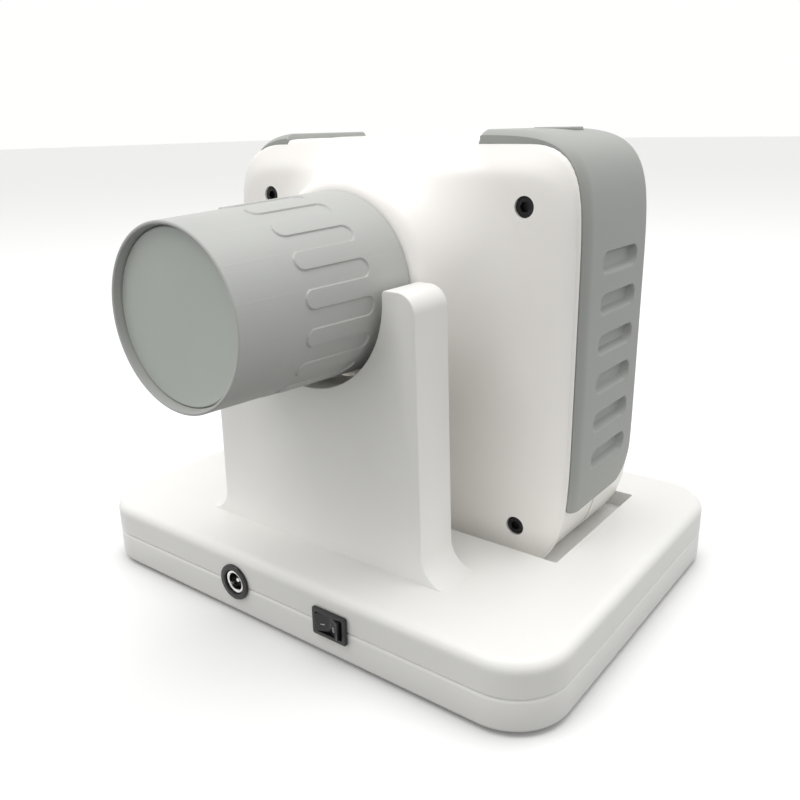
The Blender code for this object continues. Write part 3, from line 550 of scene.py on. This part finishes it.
def plan_field(x, y, inset=0.0):
    a = np.abs(x) - (DOCK_HALF[0] - DOCK_CORNER)
    b = np.abs(y) - (DOCK_HALF[1] - DOCK_CORNER)
    outside = np.hypot(np.maximum(a, 0), np.maximum(b, 0))
    return outside + np.minimum(np.maximum(a, b), 0) - DOCK_CORNER + inset


def arc(centre, radius, start, end, steps):
    """Points on a circle between two angles in degrees."""
    return [
        (centre[0] + radius * math.cos(math.radians(a)), centre[1] + radius * math.sin(math.radians(a)))
        for a in np.linspace(start, end, steps + 1)
    ]


def cradle():
    """The upright: one outline with flared feet and a U-shaped notch, with crisp edges."""
    half = [(CRADLE_FOOT_HALF + CRADLE_FLARE, DECK_Z - 0.0008)]
    half += arc((CRADLE_FOOT_HALF + CRADLE_FLARE, DECK_Z + CRADLE_FLARE), CRADLE_FLARE, 270, 180, 16)
    half += arc((CRADLE_TOP_HALF - CRADLE_CORNER, CRADLE_TOP - CRADLE_CORNER), CRADLE_CORNER, 0, 90, 16)
    notch_corner = (CRADLE_NOTCH + CRADLE_NOTCH_CORNER, CRADLE_TOP - CRADLE_NOTCH_CORNER)
    half += arc(notch_corner, CRADLE_NOTCH_CORNER, 90, 180, 6)
    half += arc((0, CONE_Z), CRADLE_NOTCH, 0, -90, 48)
    outline = half + [(-x, z) for x, z in half[-2::-1]]
    upright = prism(
        "cradle_upright", outline, CRADLE_FRONT, CRADLE_BACK, "XZ", "white_plastic", "dock", ("cone_cradle",)
    )
    round_edges(upright, CRADLE_EDGE, 3, 50)


def box_field(x, y, z, low, high):
    sides = [np.maximum(a - v, v - b) for v, a, b in zip((x, y, z), low, high)]
    return np.maximum(np.maximum(sides[0], sides[1]), sides[2])


def dock_cover_field(p):
    x, y, z = p[..., 0], p[..., 1], p[..., 2]
    outer = smooth_most(plan_field(x, y), z - DECK_Z, DECK_EDGE)
    well = box_field(
        x, y, z,
        (-POCKET_HALF_WIDTH - POCKET_WALL, POCKET_FRONT - POCKET_WALL, POCKET_FLOOR - POCKET_WALL),
        (POCKET_HALF_WIDTH + POCKET_WALL, POCKET_BACK + POCKET_WALL, 1.0),
    )
    inner = np.maximum(plan_field(x, y, DOCK_WALL), z - (DECK_Z - DOCK_WALL))
    return np.maximum(outer, -np.maximum(inner, -well))


def jack_and_switch_holes():
    front = -DOCK_HALF[1]
    return [
        round_cutter("jack_hole", (JACK_X, JACK_Z), JACK_HOLE, front - PORT_CUT, front + PORT_CUT, "Y"),
        cutter(
            "switch_hole", rounded_rectangle((SWITCH_X, SWITCH_Z), *SWITCH_HOLE, 0.0003, 2),
            front - PORT_CUT, front + PORT_CUT, "XZ",
        ),
    ]


def dock_cover():
    low = (-DOCK_HALF[0] - 0.0025, -DOCK_HALF[1] - 0.0025, SEAM_Z - 0.004)
    high = (DOCK_HALF[0] + 0.0025, DOCK_HALF[1] + 0.0025, DECK_Z + 0.0025)

    def field(p):
        return np.maximum(dock_cover_field(p), SEAM_Z - 0.0025 - p[..., 2])

    net = surface_net(field, low, high, 0.0009)
    cover = piece("dock_cover", *net, "white_plastic", "dock", ("base_upper_housing",))
    trim(cover, (0, 0, SEAM_Z + 0.0001), (0, 0, -1))
    middle = (POCKET_FRONT + POCKET_BACK) / 2
    pocket = rounded_rectangle((0, middle), 2 * POCKET_HALF_WIDTH, POCKET_BACK - POCKET_FRONT, 0.0008, 4)
    cutters = [cutter("pocket", pocket, POCKET_FLOOR, 0.040, "XY"), *jack_and_switch_holes()]
    for side in (-1, 1):
        place = (side * CONTACT_X, CONTACT_Y)
        cutters.append(round_cutter(f"pin_hole_{side}", place, PIN_HOLE, 0.010, 0.030, "Z", 24))
    carve(cover, cutters)


def dock_outline(inset):
    width, depth = (2 * (half - inset) for half in DOCK_HALF)
    return rounded_rectangle((0, 0), width, depth, DOCK_CORNER - inset, 20)


def dock_tray():
    """The lower housing, with a narrow lip that stands in from the seam."""
    tray = prism(
        "dock_tray", dock_outline(0), FOOT_DROP, SEAM_Z - GAP, "XY", "white_plastic", "dock",
        ("base_lower_housing",),
    )
    round_edges(tray, TRAY_EDGE)
    hollow = cutter("tray_hollow", dock_outline(DOCK_WALL), FOOT_DROP + DOCK_WALL, 0.03, "XY")
    carve(tray, [hollow, *jack_and_switch_holes()])
    outer, inner = SEAM_LIP
    low, high = SEAM_Z - 0.0016, SEAM_Z + 0.00005
    lip = prism("dock_seam_lip", dock_outline(outer), low, high, "XY", "white_plastic", "dock")
    carve(lip, [cutter("lip_inside", dock_outline(inner), 0.0, 0.03, "XY"), *jack_and_switch_holes()])


def power_jack():
    front = -DOCK_HALF[1]
    centre = (JACK_X, JACK_Z)
    closed_lathe(
        "power_jack_body",
        [
            (JACK_MOUTH, front + 0.0110), (JACK_BODY, front + 0.0110), (JACK_BODY, front - GAP),
            (JACK_BEZEL, front - GAP), (JACK_BEZEL, front - 0.0008), (JACK_BEZEL - 0.0002, front - 0.0011),
            (JACK_BEZEL - 0.0005, front - JACK_PROUD), (0.0050, front - JACK_PROUD),
            (JACK_MOUTH, front - 0.0009),
        ],
        96, centre, "black_plastic", "dock", ("dc_jack_body",),
    )
    closed_lathe(
        "power_jack_seat",
        [
            (JACK_SEAT_BORE, front + 0.0080), (0.0046, front + 0.0080), (0.0046, front + 0.0112),
            (JACK_SEAT_BORE, front + 0.0112),
        ],
        64, centre, "black_plastic", "dock",
    )
    bore, outside = JACK_SLEEVE
    closed_lathe(
        "power_jack_sleeve",
        [
            (bore, front + 0.0078), (outside, front + 0.0078), (outside, front - 0.0001),
            (outside - 0.0002, front - 0.0004), (bore + 0.0003, front - 0.0004), (bore, front - 0.0001),
        ],
        96, centre, "chrome", "dock", ("dc_jack_sleeve",),
    )
    pin = [
        (0.0, front + 0.0106), (JACK_PIN, front + 0.0106), (JACK_PIN, front + 0.0014),
        (0.0007, front + 0.0009), (0.0, front + 0.0007),
    ]
    piece("power_jack_pin", *lathe(pin, 32, centre), "chrome", "dock", ("dc_jack_pin",))


def rocker_switch():
    front = -DOCK_HALF[1]
    centre = (SWITCH_X, SWITCH_Z)
    bezel_outline = rounded_rectangle(centre, *SWITCH_BEZEL, 0.0009, 6)
    bezel = prism(
        "switch_bezel", bezel_outline, front - 0.0016, front - GAP, "XZ", "black_plastic", "dock",
        ("rocker_switch_frame",),
    )
    round_edges(bezel, 0.0004, 3)
    barrel_outline = rounded_rectangle(centre, *SWITCH_BARREL, 0.0004, 3)
    barrel = prism(
        "switch_barrel", barrel_outline, front - 0.0002, front + 0.0130, "XZ", "black_plastic", "dock"
    )
    well = rounded_rectangle(centre, *SWITCH_WELL, 0.0004, 4)
    carve(bezel, [cutter("bezel_well", well, front - 0.005, front + 0.005, "XZ")])
    carve(barrel, [cutter("barrel_well", well, front - 0.005, front + 0.0110, "XZ")])

    tilt = Matrix.Rotation(math.radians(-ROCKER_TILT), 4, "Z")
    turn = Matrix.Translation((SWITCH_X, front, SWITCH_Z)) @ tilt
    half = ROCKER_HALF_LENGTH
    outline = [(-0.0018, 0.0060), (-half, ROCKER_DIP)]
    steps = 16
    for step in range(steps + 1):
        x = -half + 2 * half * step / steps
        outline.append((x, -ROCKER_DIP - ROCKER_RISE * abs(x / half) ** ROCKER_CURVE))
    outline += [(half, ROCKER_DIP), (0.0018, 0.0060)]
    lever = prism(
        "rocker_lever", outline[::-1], -ROCKER_HALF_HEIGHT, ROCKER_HALF_HEIGHT, "XY", "black_plastic",
        "rocker", ("rocker_switch_lever",),
    )
    move(lever, turn)
    round_edges(lever, 0.0003, 3, 50)
    rocker_marks(turn)


def rocker_marks(turn):
    """A line and a circle that lie on the two halves of the rocker."""
    share = ROCKER_MARK / ROCKER_HALF_LENGTH
    height = -ROCKER_DIP - ROCKER_RISE * share**ROCKER_CURVE
    tilt = math.atan(ROCKER_RISE / ROCKER_HALF_LENGTH * ROCKER_CURVE * share ** (ROCKER_CURVE - 1))
    low, high = -0.00006, 0.00003
    bar = prism(
        "mark_line", rounded_rectangle((0, 0), 0.0016, 0.0003, 0.0001, 2), low, high, "XZ", MARKING, "rocker"
    )
    inside, outside = 0.00055, 0.00085
    ring = closed_lathe(
        "mark_circle", [(inside, low), (outside, low), (outside, high), (inside, high)],
        40, (0, 0), MARKING, "rocker",
    )
    for mark, side in ((bar, -1), (ring, 1)):
        place = Matrix.Translation((side * 0.0026, height, -0.0004))
        move(mark, turn @ place @ Matrix.Rotation(-side * tilt, 4, "Z"))


def move(obj, matrix):
    """Moves a piece's mesh, so that the object stays at the origin."""
    obj.data.transform(matrix)
    obj.data.update()


# Cone


def cone_radius(y):
    share = (y - CONE_FRONT) / (CONE_BACK - CONE_FRONT)
    return CONE_FRONT_RADIUS + (CONE_BACK_RADIUS - CONE_FRONT_RADIUS) * share


def step_share(angle, y):
    """1 on the raised rear part and its tongues, 0 on the front part and its fingers."""
    quarter = math.pi / (2 * STEP_PERIODS)
    turned = (angle - STEP_PHASE + 2 * quarter) % (4 * quarter) - 2 * quarter
    round_end = cone_radius(y) * quarter
    across = np.abs(turned) * cone_radius(y)
    finger = np.hypot(np.maximum(y - STEP_REAR + round_end, 0), across) - round_end
    tongue = round_end - np.hypot(np.maximum(STEP_FRONT + round_end - y, 0), 2 * round_end - across)
    share = np.clip(0.5 + np.where(across < round_end, finger, tongue) / STEP_WIDTH, 0, 1)
    return share * share * (3 - 2 * share)


def cone():
    segments = SLEEVE_SEGMENTS
    seat = WINDOW_RADIUS + 0.0002
    window_back = WINDOW_FACE + WINDOW_THICKNESS + GAP
    front = [
        (CONE_BORE, window_back), (seat, window_back), (seat, WINDOW_FACE),
        (CONE_FRONT_RADIUS - 0.0012, CONE_FRONT + 0.0002), (CONE_FRONT_RADIUS - 0.0009, CONE_FRONT),
        (CONE_FRONT_RADIUS - 0.0005, CONE_FRONT), (CONE_FRONT_RADIUS - 0.00015, CONE_FRONT + 0.0003),
    ]
    rows = [*np.linspace(CONE_FRONT + 0.0008, STEP_FRONT - 0.001, 5)]
    rows += [*np.arange(STEP_FRONT - 0.0007, STEP_REAR + 0.0008, STEP_PITCH)]
    rows += [*np.linspace(STEP_REAR + 0.001, CONE_BACK - 0.0004, 4)]
    rear = [
        (CONE_BACK_RADIUS - 0.0003, CONE_BACK), (SPIGOT_RADIUS, CONE_BACK), (SPIGOT_RADIUS, SPIGOT_END),
        (CONE_BORE, SPIGOT_END),
    ]
    angles = np.linspace(0, 2 * math.pi, segments, endpoint=False)
    radii = [np.full(segments, radius) for radius, _ in front]
    radii += [cone_radius(y) + STEP_RISE * (step_share(angles, y) - STEP_BELOW) for y in rows]
    radii += [np.full(segments, radius) for radius, _ in rear]
    along = np.array([y for _, y in front] + rows + [y for _, y in rear])
    radii = np.array(radii)
    y = np.broadcast_to(along[:, None], radii.shape)
    vertices = np.stack([radii * np.cos(angles), y, CONE_Z + radii * np.sin(angles)], axis=-1)
    row, step = np.meshgrid(np.arange(len(along)), np.arange(segments), indexing="ij")
    below = (row + 1) % len(along)
    beside = (step + 1) % segments
    upper = [row * segments + step, row * segments + beside]
    lower = [below * segments + beside, below * segments + step]
    faces = np.stack(upper + lower, axis=-1)
    sleeve = piece(
        "cone_sleeve_moulding", vertices.reshape(-1, 3), faces.reshape(-1, 4), "grey_soft_touch", "handset",
        ("cone_sleeve",), 24,
    )
    weld(sleeve)
    # The sleeve gets the lighter copy of the soft-touch grey, which is painted light.
    repaint(sleeve, CONE_GREY_WITH_PAINTED_LIGHT)
    disc = [
        (0.0, WINDOW_FACE + WINDOW_THICKNESS), (WINDOW_RADIUS, WINDOW_FACE + WINDOW_THICKNESS),
        (WINDOW_RADIUS, WINDOW_FACE + 0.0004), (WINDOW_RADIUS - 0.0004, WINDOW_FACE), (0.0, WINDOW_FACE),
    ]
    piece("cone_window_disc", *lathe(disc, 144, (0, CONE_Z)), "window_grey", "handset", ("cone_window",), 30)


# Handheld unit


def boss_distance(x, z):
    return np.hypot(x, z - CONE_Z)


def front_outer(p):
    """The front moulding: flat face, long slope at the top that narrows at the corners, and round boss."""
    x, y, z = p[..., 0], p[..., 1], p[..., 2]
    ahead = np.clip((GRIP_FRONT - y) / 0.002, 0, 1)
    power = TOP_EXPONENT + (FRONT_EXPONENT - TOP_EXPONENT) * ahead
    outline = unit_field(x, z, -FRONT_FLARE * ahead, 0.0, power)
    above = z > UNIT_WAIST
    power = np.where(above, FACE_EXPONENT, FOOT_EXPONENT)
    tall = np.abs((z - UNIT_WAIST) / np.where(above, FACE_RISE, FACE_DROP)) ** power
    total = np.abs(x / FACE_HALF_WIDTH) ** power + tall + 1e-12
    beyond = (total ** (1 / power) - 1) * FACE_RISE
    beyond = 0.5 * (beyond + np.sqrt(beyond**2 + FACE_BLEND**2))
    lean = SIDE_LEAN + (TOP_LEAN - SIDE_LEAN) * np.where(above, tall / total, 0)
    body = smooth_most(outline, (FACE_Y - y + lean * beyond) / np.hypot(1, lean), FACE_EDGE)
    boss = smooth_most(boss_distance(x, z) - BOSS_RADIUS, BOSS_FRONT - y, BOSS_EDGE)
    return smooth_most(smooth_least(body, boss, BOSS_FILLET), outline, OUTLINE_EDGE)


def front_field(p):
    x, y, z = p[..., 0], p[..., 1], p[..., 2]
    walls = np.maximum(FACE_Y + UNIT_WALL - y, UNIT_BOTTOM + UNIT_WALL - z)
    room = np.maximum(unit_field(x, z, UNIT_WALL, FRONT_TOP_WALL), walls)
    bore = boss_distance(x, z) - BOSS_BORE
    return np.maximum(np.maximum(front_outer(p), -np.minimum(room, bore)), y - PARTING_Y - CASING_OVERLAP)


def rear_field(p):
    x, y, z = p[..., 0], p[..., 1], p[..., 2]
    lift = np.maximum(y - 0.046, 0)
    body = smooth_most(unit_field(x, z), y - REAR_Y, 0.0055)
    foot = smooth_most(body, UNIT_BOTTOM - z + lift * 1.2, 0.003)
    walls = np.maximum(y - REAR_Y + UNIT_WALL, UNIT_BOTTOM + UNIT_WALL * 2.5 - z)
    room = np.maximum(unit_field(x, z, UNIT_WALL, UNIT_WALL), walls)
    return np.maximum(np.maximum(foot, -room), PARTING_Y - CASING_OVERLAP - y)


def screw_places():
    return (
        (-SCREW_X, SCREW_LOW_Z), (SCREW_X, SCREW_LOW_Z), (SCREW_X, SCREW_HIGH_Z), (-SCREW_X, SCREW_HIGH_Z)
    )


def grip_channels():
    return [grip_band(f"{label}_channel", label, CHANNEL_PITCH, GAP) for label in ("left", "right")]


def front_casing():
    low = (-UNIT_HALF_WIDTH - 0.003, BOSS_FRONT - 0.003, UNIT_BOTTOM - 0.003)
    high = (UNIT_HALF_WIDTH + 0.003, PARTING_Y + 0.007, UNIT_WAIST + UNIT_RISE + 0.003)
    net = surface_net(front_field, low, high, 0.0011)
    casing = piece("front_casing", *net, "white_plastic", "handset", ("front_shell",))
    trim(casing, (0, PARTING_Y, 0), (0, 1, 0))
    # The front casing gets the brighter handset white, which is partly painted light.
    repaint(casing, HANDSET_WHITE_WITH_PAINTED_LIGHT)
    cutters = grip_channels()
    for index, place in enumerate(screw_places(), 1):
        name = f"counterbore_{index}"
        cutters.append(round_cutter(name, place, COUNTERBORE, -0.020, FACE_Y + 0.0060, "Y"))
    carve(casing, cutters)
    for index, (x, z) in enumerate(screw_places(), 1):
        sleeve = [(0.0040, FACE_Y + 0.0004), (0.0060, FACE_Y + 0.0004), (0.0060, 0.0200), (0.0023, 0.0200),
                  (0.0023, -0.0032), (0.0040, -0.0032)]
        closed_lathe(f"screw_post_{index}", sleeve[::-1], 40, (x, z), "white_plastic", "handset")


def rear_casing():
    low = (-UNIT_HALF_WIDTH - 0.003, PARTING_Y - 0.007, UNIT_BOTTOM - 0.003)
    high = (UNIT_HALF_WIDTH + 0.003, REAR_Y + 0.003, UNIT_WAIST + UNIT_RISE + 0.003)
    net = surface_net(rear_field, low, high, 0.0012)
    casing = piece("rear_casing", *net, "white_plastic", "handset", ("rear_shell",))
    trim(casing, (0, PARTING_Y + GAP, 0), (0, -1, 0))
    # The rear casing gets the brighter handset white, which is partly painted light.
    repaint(casing, HANDSET_WHITE_WITH_PAINTED_LIGHT)
    window = rounded_rectangle((0, DISPLAY_Z), *DISPLAY_SIZE, 0.004)
    cutters = [*grip_channels(), cutter("display_hole", window, 0.045, 0.060, "XZ")]
    for index in range(len(KEY_NAMES)):
        place = (KEY_PITCH * (index - 1.5), KEY_Z)
        radius = KEY_RADIUS + KEY_CLEARANCE
        cutters.append(round_cutter(f"key_hole_{index}", place, radius, 0.045, 0.060, "Y"))
    carve(casing, cutters)


def setback(distance, radius):
    """How far a rounded corner draws an edge in, at a distance from the band's end."""
    left = np.clip(radius - distance, 0, radius)
    return radius - np.sqrt(radius**2 - left**2)


def slot_depth(y, z):
    """Depth of the finger slots at a place on the side of a grip."""
    depth = np.zeros(np.broadcast(y, z).shape)
    for index in range(SLOT_COUNT):
        across = z - (SLOT_TOP_Z - SLOT_PITCH * index)
        along = np.maximum(np.abs(y - SLOT_MIDDLE_Y) - (SLOT_HALF_LENGTH - SLOT_HALF_HEIGHT), 0)
        inside = SLOT_HALF_HEIGHT - np.hypot(along, across)
        wall = SLOT_WALL - SLOT_WALL_LEAN * np.clip(across / SLOT_HALF_HEIGHT, -1, 1)
        depth = np.maximum(depth, SLOT_DEPTH * np.clip(inside / wall, 0, 1))
    return depth


def grip_band(name, label, pitch, grow=0.0):
    """The band that wraps from the unit's top over its corner and down its side, pitch in millimetres."""
    mirror = -1 if label == "left" else 1
    stations, x, z, out_x, out_z = grip_path(GRIP_INNER_X[label], pitch / 1000)
    from_inner = stations
    from_low = stations[-1] - stations
    front = GRIP_FRONT + setback(from_low, GRIP_FRONT_CORNER) - grow
    rear = GRIP_REAR - setback(from_low, GRIP_REAR_CORNER) + grow
    ease = np.minimum(setback_height(from_inner, GRIP_INNER_EASE), setback_height(from_low, GRIP_LOW_EASE))
    proud = np.maximum(GRIP_PROUD * ease, GRIP_LEAST_PROUD) + grow
    columns = max(8, int((GRIP_REAR - GRIP_FRONT) * 1000 / pitch))
    share = np.linspace(0, 1, columns)
    y = front[:, None] + (rear - front)[:, None] * share[None, :]
    from_front = y - front[:, None]
    from_rear = rear[:, None] - y
    slope = np.clip(from_front / GRIP_NOSE, 0, 1)
    chamfer = 0.15 + 0.85 * (1 - (1 - slope) ** 2.6) if not grow else np.ones_like(slope)
    edge = np.sqrt(np.clip(1 - (1 - np.clip(from_rear / GRIP_REAR_EDGE, 0, 1)) ** 2, 0, 1))
    offset = proud[:, None] * np.minimum(chamfer, 0.35 + 0.65 * edge)
    if not grow:
        offset = offset - slot_depth(y, z[:, None])
    stretch = np.zeros(len(stations))
    if grow:
        stretch[0], stretch[-1] = grow, -grow
    rows = []
    for index in range(len(stations)):
        tail = [(front[index], -GRIP_SUNK - grow), (rear[index], -GRIP_SUNK - grow)]
        section = list(zip(y[index], offset[index])) + tail[::-1]
        rows.append([
            (
                mirror * (x[index] + out_x[index] * depth - (stretch[index] if index == 0 else 0)),
                across,
                z[index] + out_z[index] * depth + (stretch[index] if index else 0),
            )
            for across, depth in section
        ])
    width = len(rows[0])
    vertices = [point for row in rows for point in row]
    faces = [
        (width * r + k, width * r + (k + 1) % width, width * (r + 1) + (k + 1) % width, width * (r + 1) + k)
        for r in range(len(rows) - 1)
        for k in range(width)
    ]
    faces.append(tuple(range(width))[::-1])
    faces.append(tuple(width * (len(rows) - 1) + k for k in range(width)))
    body = None if grow else "handset"
    band = piece(name, vertices, faces, "grey_soft_touch", body, () if grow else (f"{label}_grip",), 32)
    weld(band)
    return band


def setback_height(distance, radius):
    """From 0 at an edge to 1 at a radius away, along a quarter circle."""
    share = np.clip(distance / radius, 0, 1)
    return np.sqrt(1 - (1 - share) ** 2)


def grips():
    grip_band("left_grip_cover", "left", GRIP_PITCH)
    right = grip_band("right_grip_cover", "right", GRIP_PITCH)
    width, depth = (side + 2 * TRIGGER_CLEARANCE for side in TRIGGER_SIZE)
    well = rounded_rectangle(TRIGGER, width, depth, TRIGGER_CORNER + TRIGGER_CLEARANCE)
    carve(right, [cutter("trigger_well", well, 0.155, 0.180, "XY")], 32)


def trigger():
    outline = rounded_rectangle(TRIGGER, *TRIGGER_SIZE, TRIGGER_CORNER)
    button = prism(
        "exposure_key", outline, TRIGGER_BOTTOM, TRIGGER_TOP, "XY", "grey_soft_touch", "exposure_button",
        ("exposure_button",),
    )
    round_edges(button, 0.0005, 4)


def casing_screws():
    """Button-head screws with a hexagon socket, sunk in their counterbores."""
    segments = 48
    turns = [2 * math.pi * k / segments for k in range(segments)]
    for number, (x, z) in enumerate(screw_places(), 1):
        face = SCREW_FACE
        rings = [
            (SCREW_SHANK, SCREW_END), (SCREW_SHANK, SCREW_SEAT), (SCREW_HEAD, SCREW_SEAT),
            (SCREW_HEAD, face + 0.0005), (SCREW_HEAD - 0.0001, face + 0.0002), (SCREW_HEAD - 0.0004, face),
        ]
        vertices = [
            (x + radius * math.cos(angle), y, z + radius * math.sin(angle))
            for radius, y in rings
            for angle in turns
        ]
        for y in (face, face + SOCKET_DEPTH):
            for angle in turns:
                flat = math.cos(math.pi / 6) / math.cos((angle % (math.pi / 3)) - math.pi / 6)
                radius = SOCKET_RADIUS * flat
                vertices.append((x + radius * math.cos(angle), y, z + radius * math.sin(angle)))
        count = len(rings) + 2
        faces = [
            (segments * r + k, segments * (r + 1) + k, segments * (r + 1) + (k + 1) % segments,
             segments * r + (k + 1) % segments)
            for r in range(count - 1)
            for k in range(segments)
        ]
        faces.append(tuple(segments * (count - 1) + k for k in range(segments)))
        faces.append(tuple(range(segments))[::-1])
        replaced = (f"casing_screw_{number}",)
        screw = piece(f"hex_screw_{number}", vertices, faces, "black_steel", "handset", replaced)
        weld(screw)


def rear_panel():
    width, height = (side - 2 * GAP for side in DISPLAY_SIZE)
    glass = prism(
        "display_cover", rounded_rectangle((0, DISPLAY_Z), width, height, 0.0037),
        REAR_Y - 0.0018, REAR_Y - 0.0003, "XZ", "display_glass", "handset", ("display_window",),
    )
    round_edges(glass, 0.0004, 3)
    for index, name in enumerate(KEY_NAMES):
        centre = (KEY_PITCH * (index - 1.5), KEY_Z)
        back = REAR_Y - KEY_BACK
        edge = KEY_EDGE
        crown = [(KEY_RADIUS, back), (KEY_RADIUS, REAR_Y + edge)]
        crown += [
            (KEY_RADIUS - edge + edge * math.cos(a), REAR_Y + edge + edge * math.sin(a))
            for a in np.linspace(0.3, math.pi / 2, 5)
        ]
        crown += [(0.003, REAR_Y + 0.0010), (0.0, REAR_Y + 0.0009)]
        shape = lathe([(0.0, back), *crown], 72, centre)
        weld(piece(name.replace("button", "key"), *shape, "key_grey", name, (name,), 30))


def key_marks():
    """Raised symbols on the rear keys."""
    top = REAR_Y + 0.0012
    low = top - 0.0003
    for index, name in enumerate(KEY_NAMES):
        x = KEY_PITCH * (index - 1.5)
        mark = f"mark_{name}"
        if name in ("up_button", "down_button"):
            sign = 1 if name == "up_button" else -1
            base = KEY_Z - sign * 0.0011
            shape = [(x - 0.0020, base), (x + 0.0020, base), (x, KEY_Z + sign * 0.0018)]
            prism(mark, shape[::sign], low, top, "XZ", MARKING, name)
        elif name == "power_button":
            ring = [(0.0017, low), (0.0021, low), (0.0021, top), (0.0017, top)]
            closed_lathe(mark, ring[::-1], 48, (x, KEY_Z), MARKING, name)
            bar = rounded_rectangle((x, KEY_Z + 0.0014), 0.0005, 0.0022, 0.0001, 2)
            prism("mark_power_bar", bar, low, top + 0.00005, "XZ", MARKING, name)
        else:
            square = rounded_rectangle((x, KEY_Z), 0.0034, 0.0034, 0.0006)
            prism(mark, square, low, top, "XZ", MARKING, name)


# Scene


def carried_over_nodes():
    """Gives the CAD nodes that stay their finishes."""
    for part in frame["record"]["subparts"]:
        node = NODES[part["node"]]
        node.data.materials.clear()
        node.data.materials.append(FINISHES[part["material_slot"]])


def area_light(name, place, target, size, power, colour):
    data = bpy.data.lights.new(name, "AREA")
    data.shape = "DISK"
    data.size = size
    data.energy = power
    data.color = colour
    light = bpy.data.objects.new(name, data)
    light.location = place
    light.rotation_euler = (Vector(target) - Vector(place)).to_track_quat("-Z", "Y").to_euler()
    bpy.context.scene.collection.objects.link(light)


def studio():
    floor = piece(
        "floor", [(-9, -9, 0), (9, -9, 0), (9, 9, 0), (-9, 9, 0)], [(0, 1, 2, 3)],
        material("floor_white", (0.93, 0.93, 0.925), 0.6, shade=0.004), None,
    )
    floor.visible_diffuse = False
    area_light("key", (-0.30, -0.55, 1.2), AIM, 0.7, 3.8, (1.0, 0.99, 0.975))
    area_light("top", (0.15, 0.25, 1.4), AIM, 1.0, 6.0, (1.0, 1.0, 1.0))
    scene = bpy.context.scene
    scene.world = studio_world()
    scene.view_settings.view_transform = "Standard"
    scene.camera = photo_camera()


def studio_world():
    """A world that is dark below the horizon and a little brighter on the left and behind."""
    world = bpy.data.worlds.new("studio")
    world.use_nodes = True
    tree = world.node_tree
    background = tree.nodes["Background"]
    direction = tree.nodes.new("ShaderNodeTexCoord")
    split = tree.nodes.new("ShaderNodeSeparateXYZ")
    height = tree.nodes.new("ShaderNodeMapRange")
    height.inputs["From Min"].default_value, height.inputs["From Max"].default_value = HORIZON
    ramp = tree.nodes.new("ShaderNodeValToRGB")
    ramp.color_ramp.elements[0].color = GROUND_COLOUR
    ramp.color_ramp.elements[1].color = SKY_COLOUR
    tree.links.new(direction.outputs["Generated"], split.inputs["Vector"])
    tree.links.new(split.outputs["Z"], height.inputs["Value"])
    tree.links.new(height.outputs["Result"], ramp.inputs["Fac"])
    tree.links.new(ramp.outputs["Color"], background.inputs["Color"])
    facing = tree.nodes.new("ShaderNodeVectorMath")
    facing.operation = "DOT_PRODUCT"
    facing.inputs[1].default_value = BRIGHT_SIDE
    strength = tree.nodes.new("ShaderNodeMapRange")
    strength.inputs["From Min"].default_value, strength.inputs["From Max"].default_value = BRIGHT_RANGE
    strength.inputs["To Min"].default_value, strength.inputs["To Max"].default_value = BRIGHTNESS
    tree.links.new(direction.outputs["Generated"], facing.inputs[0])
    tree.links.new(facing.outputs["Value"], strength.inputs["Value"])
    tree.links.new(strength.outputs["Result"], background.inputs["Strength"])
    return world


def photo_camera():
    """The camera as solved from the photo."""
    lens = bpy.data.cameras.new("camera")
    lens.lens = FOCAL_LENGTH
    lens.sensor_width = SENSOR_WIDTH
    lens.clip_start = 0.01
    view = bpy.data.objects.new("camera", lens)
    turn = Matrix((CAMERA_RIGHT, CAMERA_UP, CAMERA_BACK)).transposed().to_4x4()
    view.matrix_world = Matrix.Translation(CAMERA_PLACE) @ turn
    bpy.context.scene.collection.objects.link(view)
    return view


carried_over_nodes()
dock_cover()
cradle()
dock_tray()
power_jack()
rocker_switch()
cone()
front_casing()
rear_casing()
grips()
trigger()
casing_screws()
rear_panel()
key_marks()
studio()
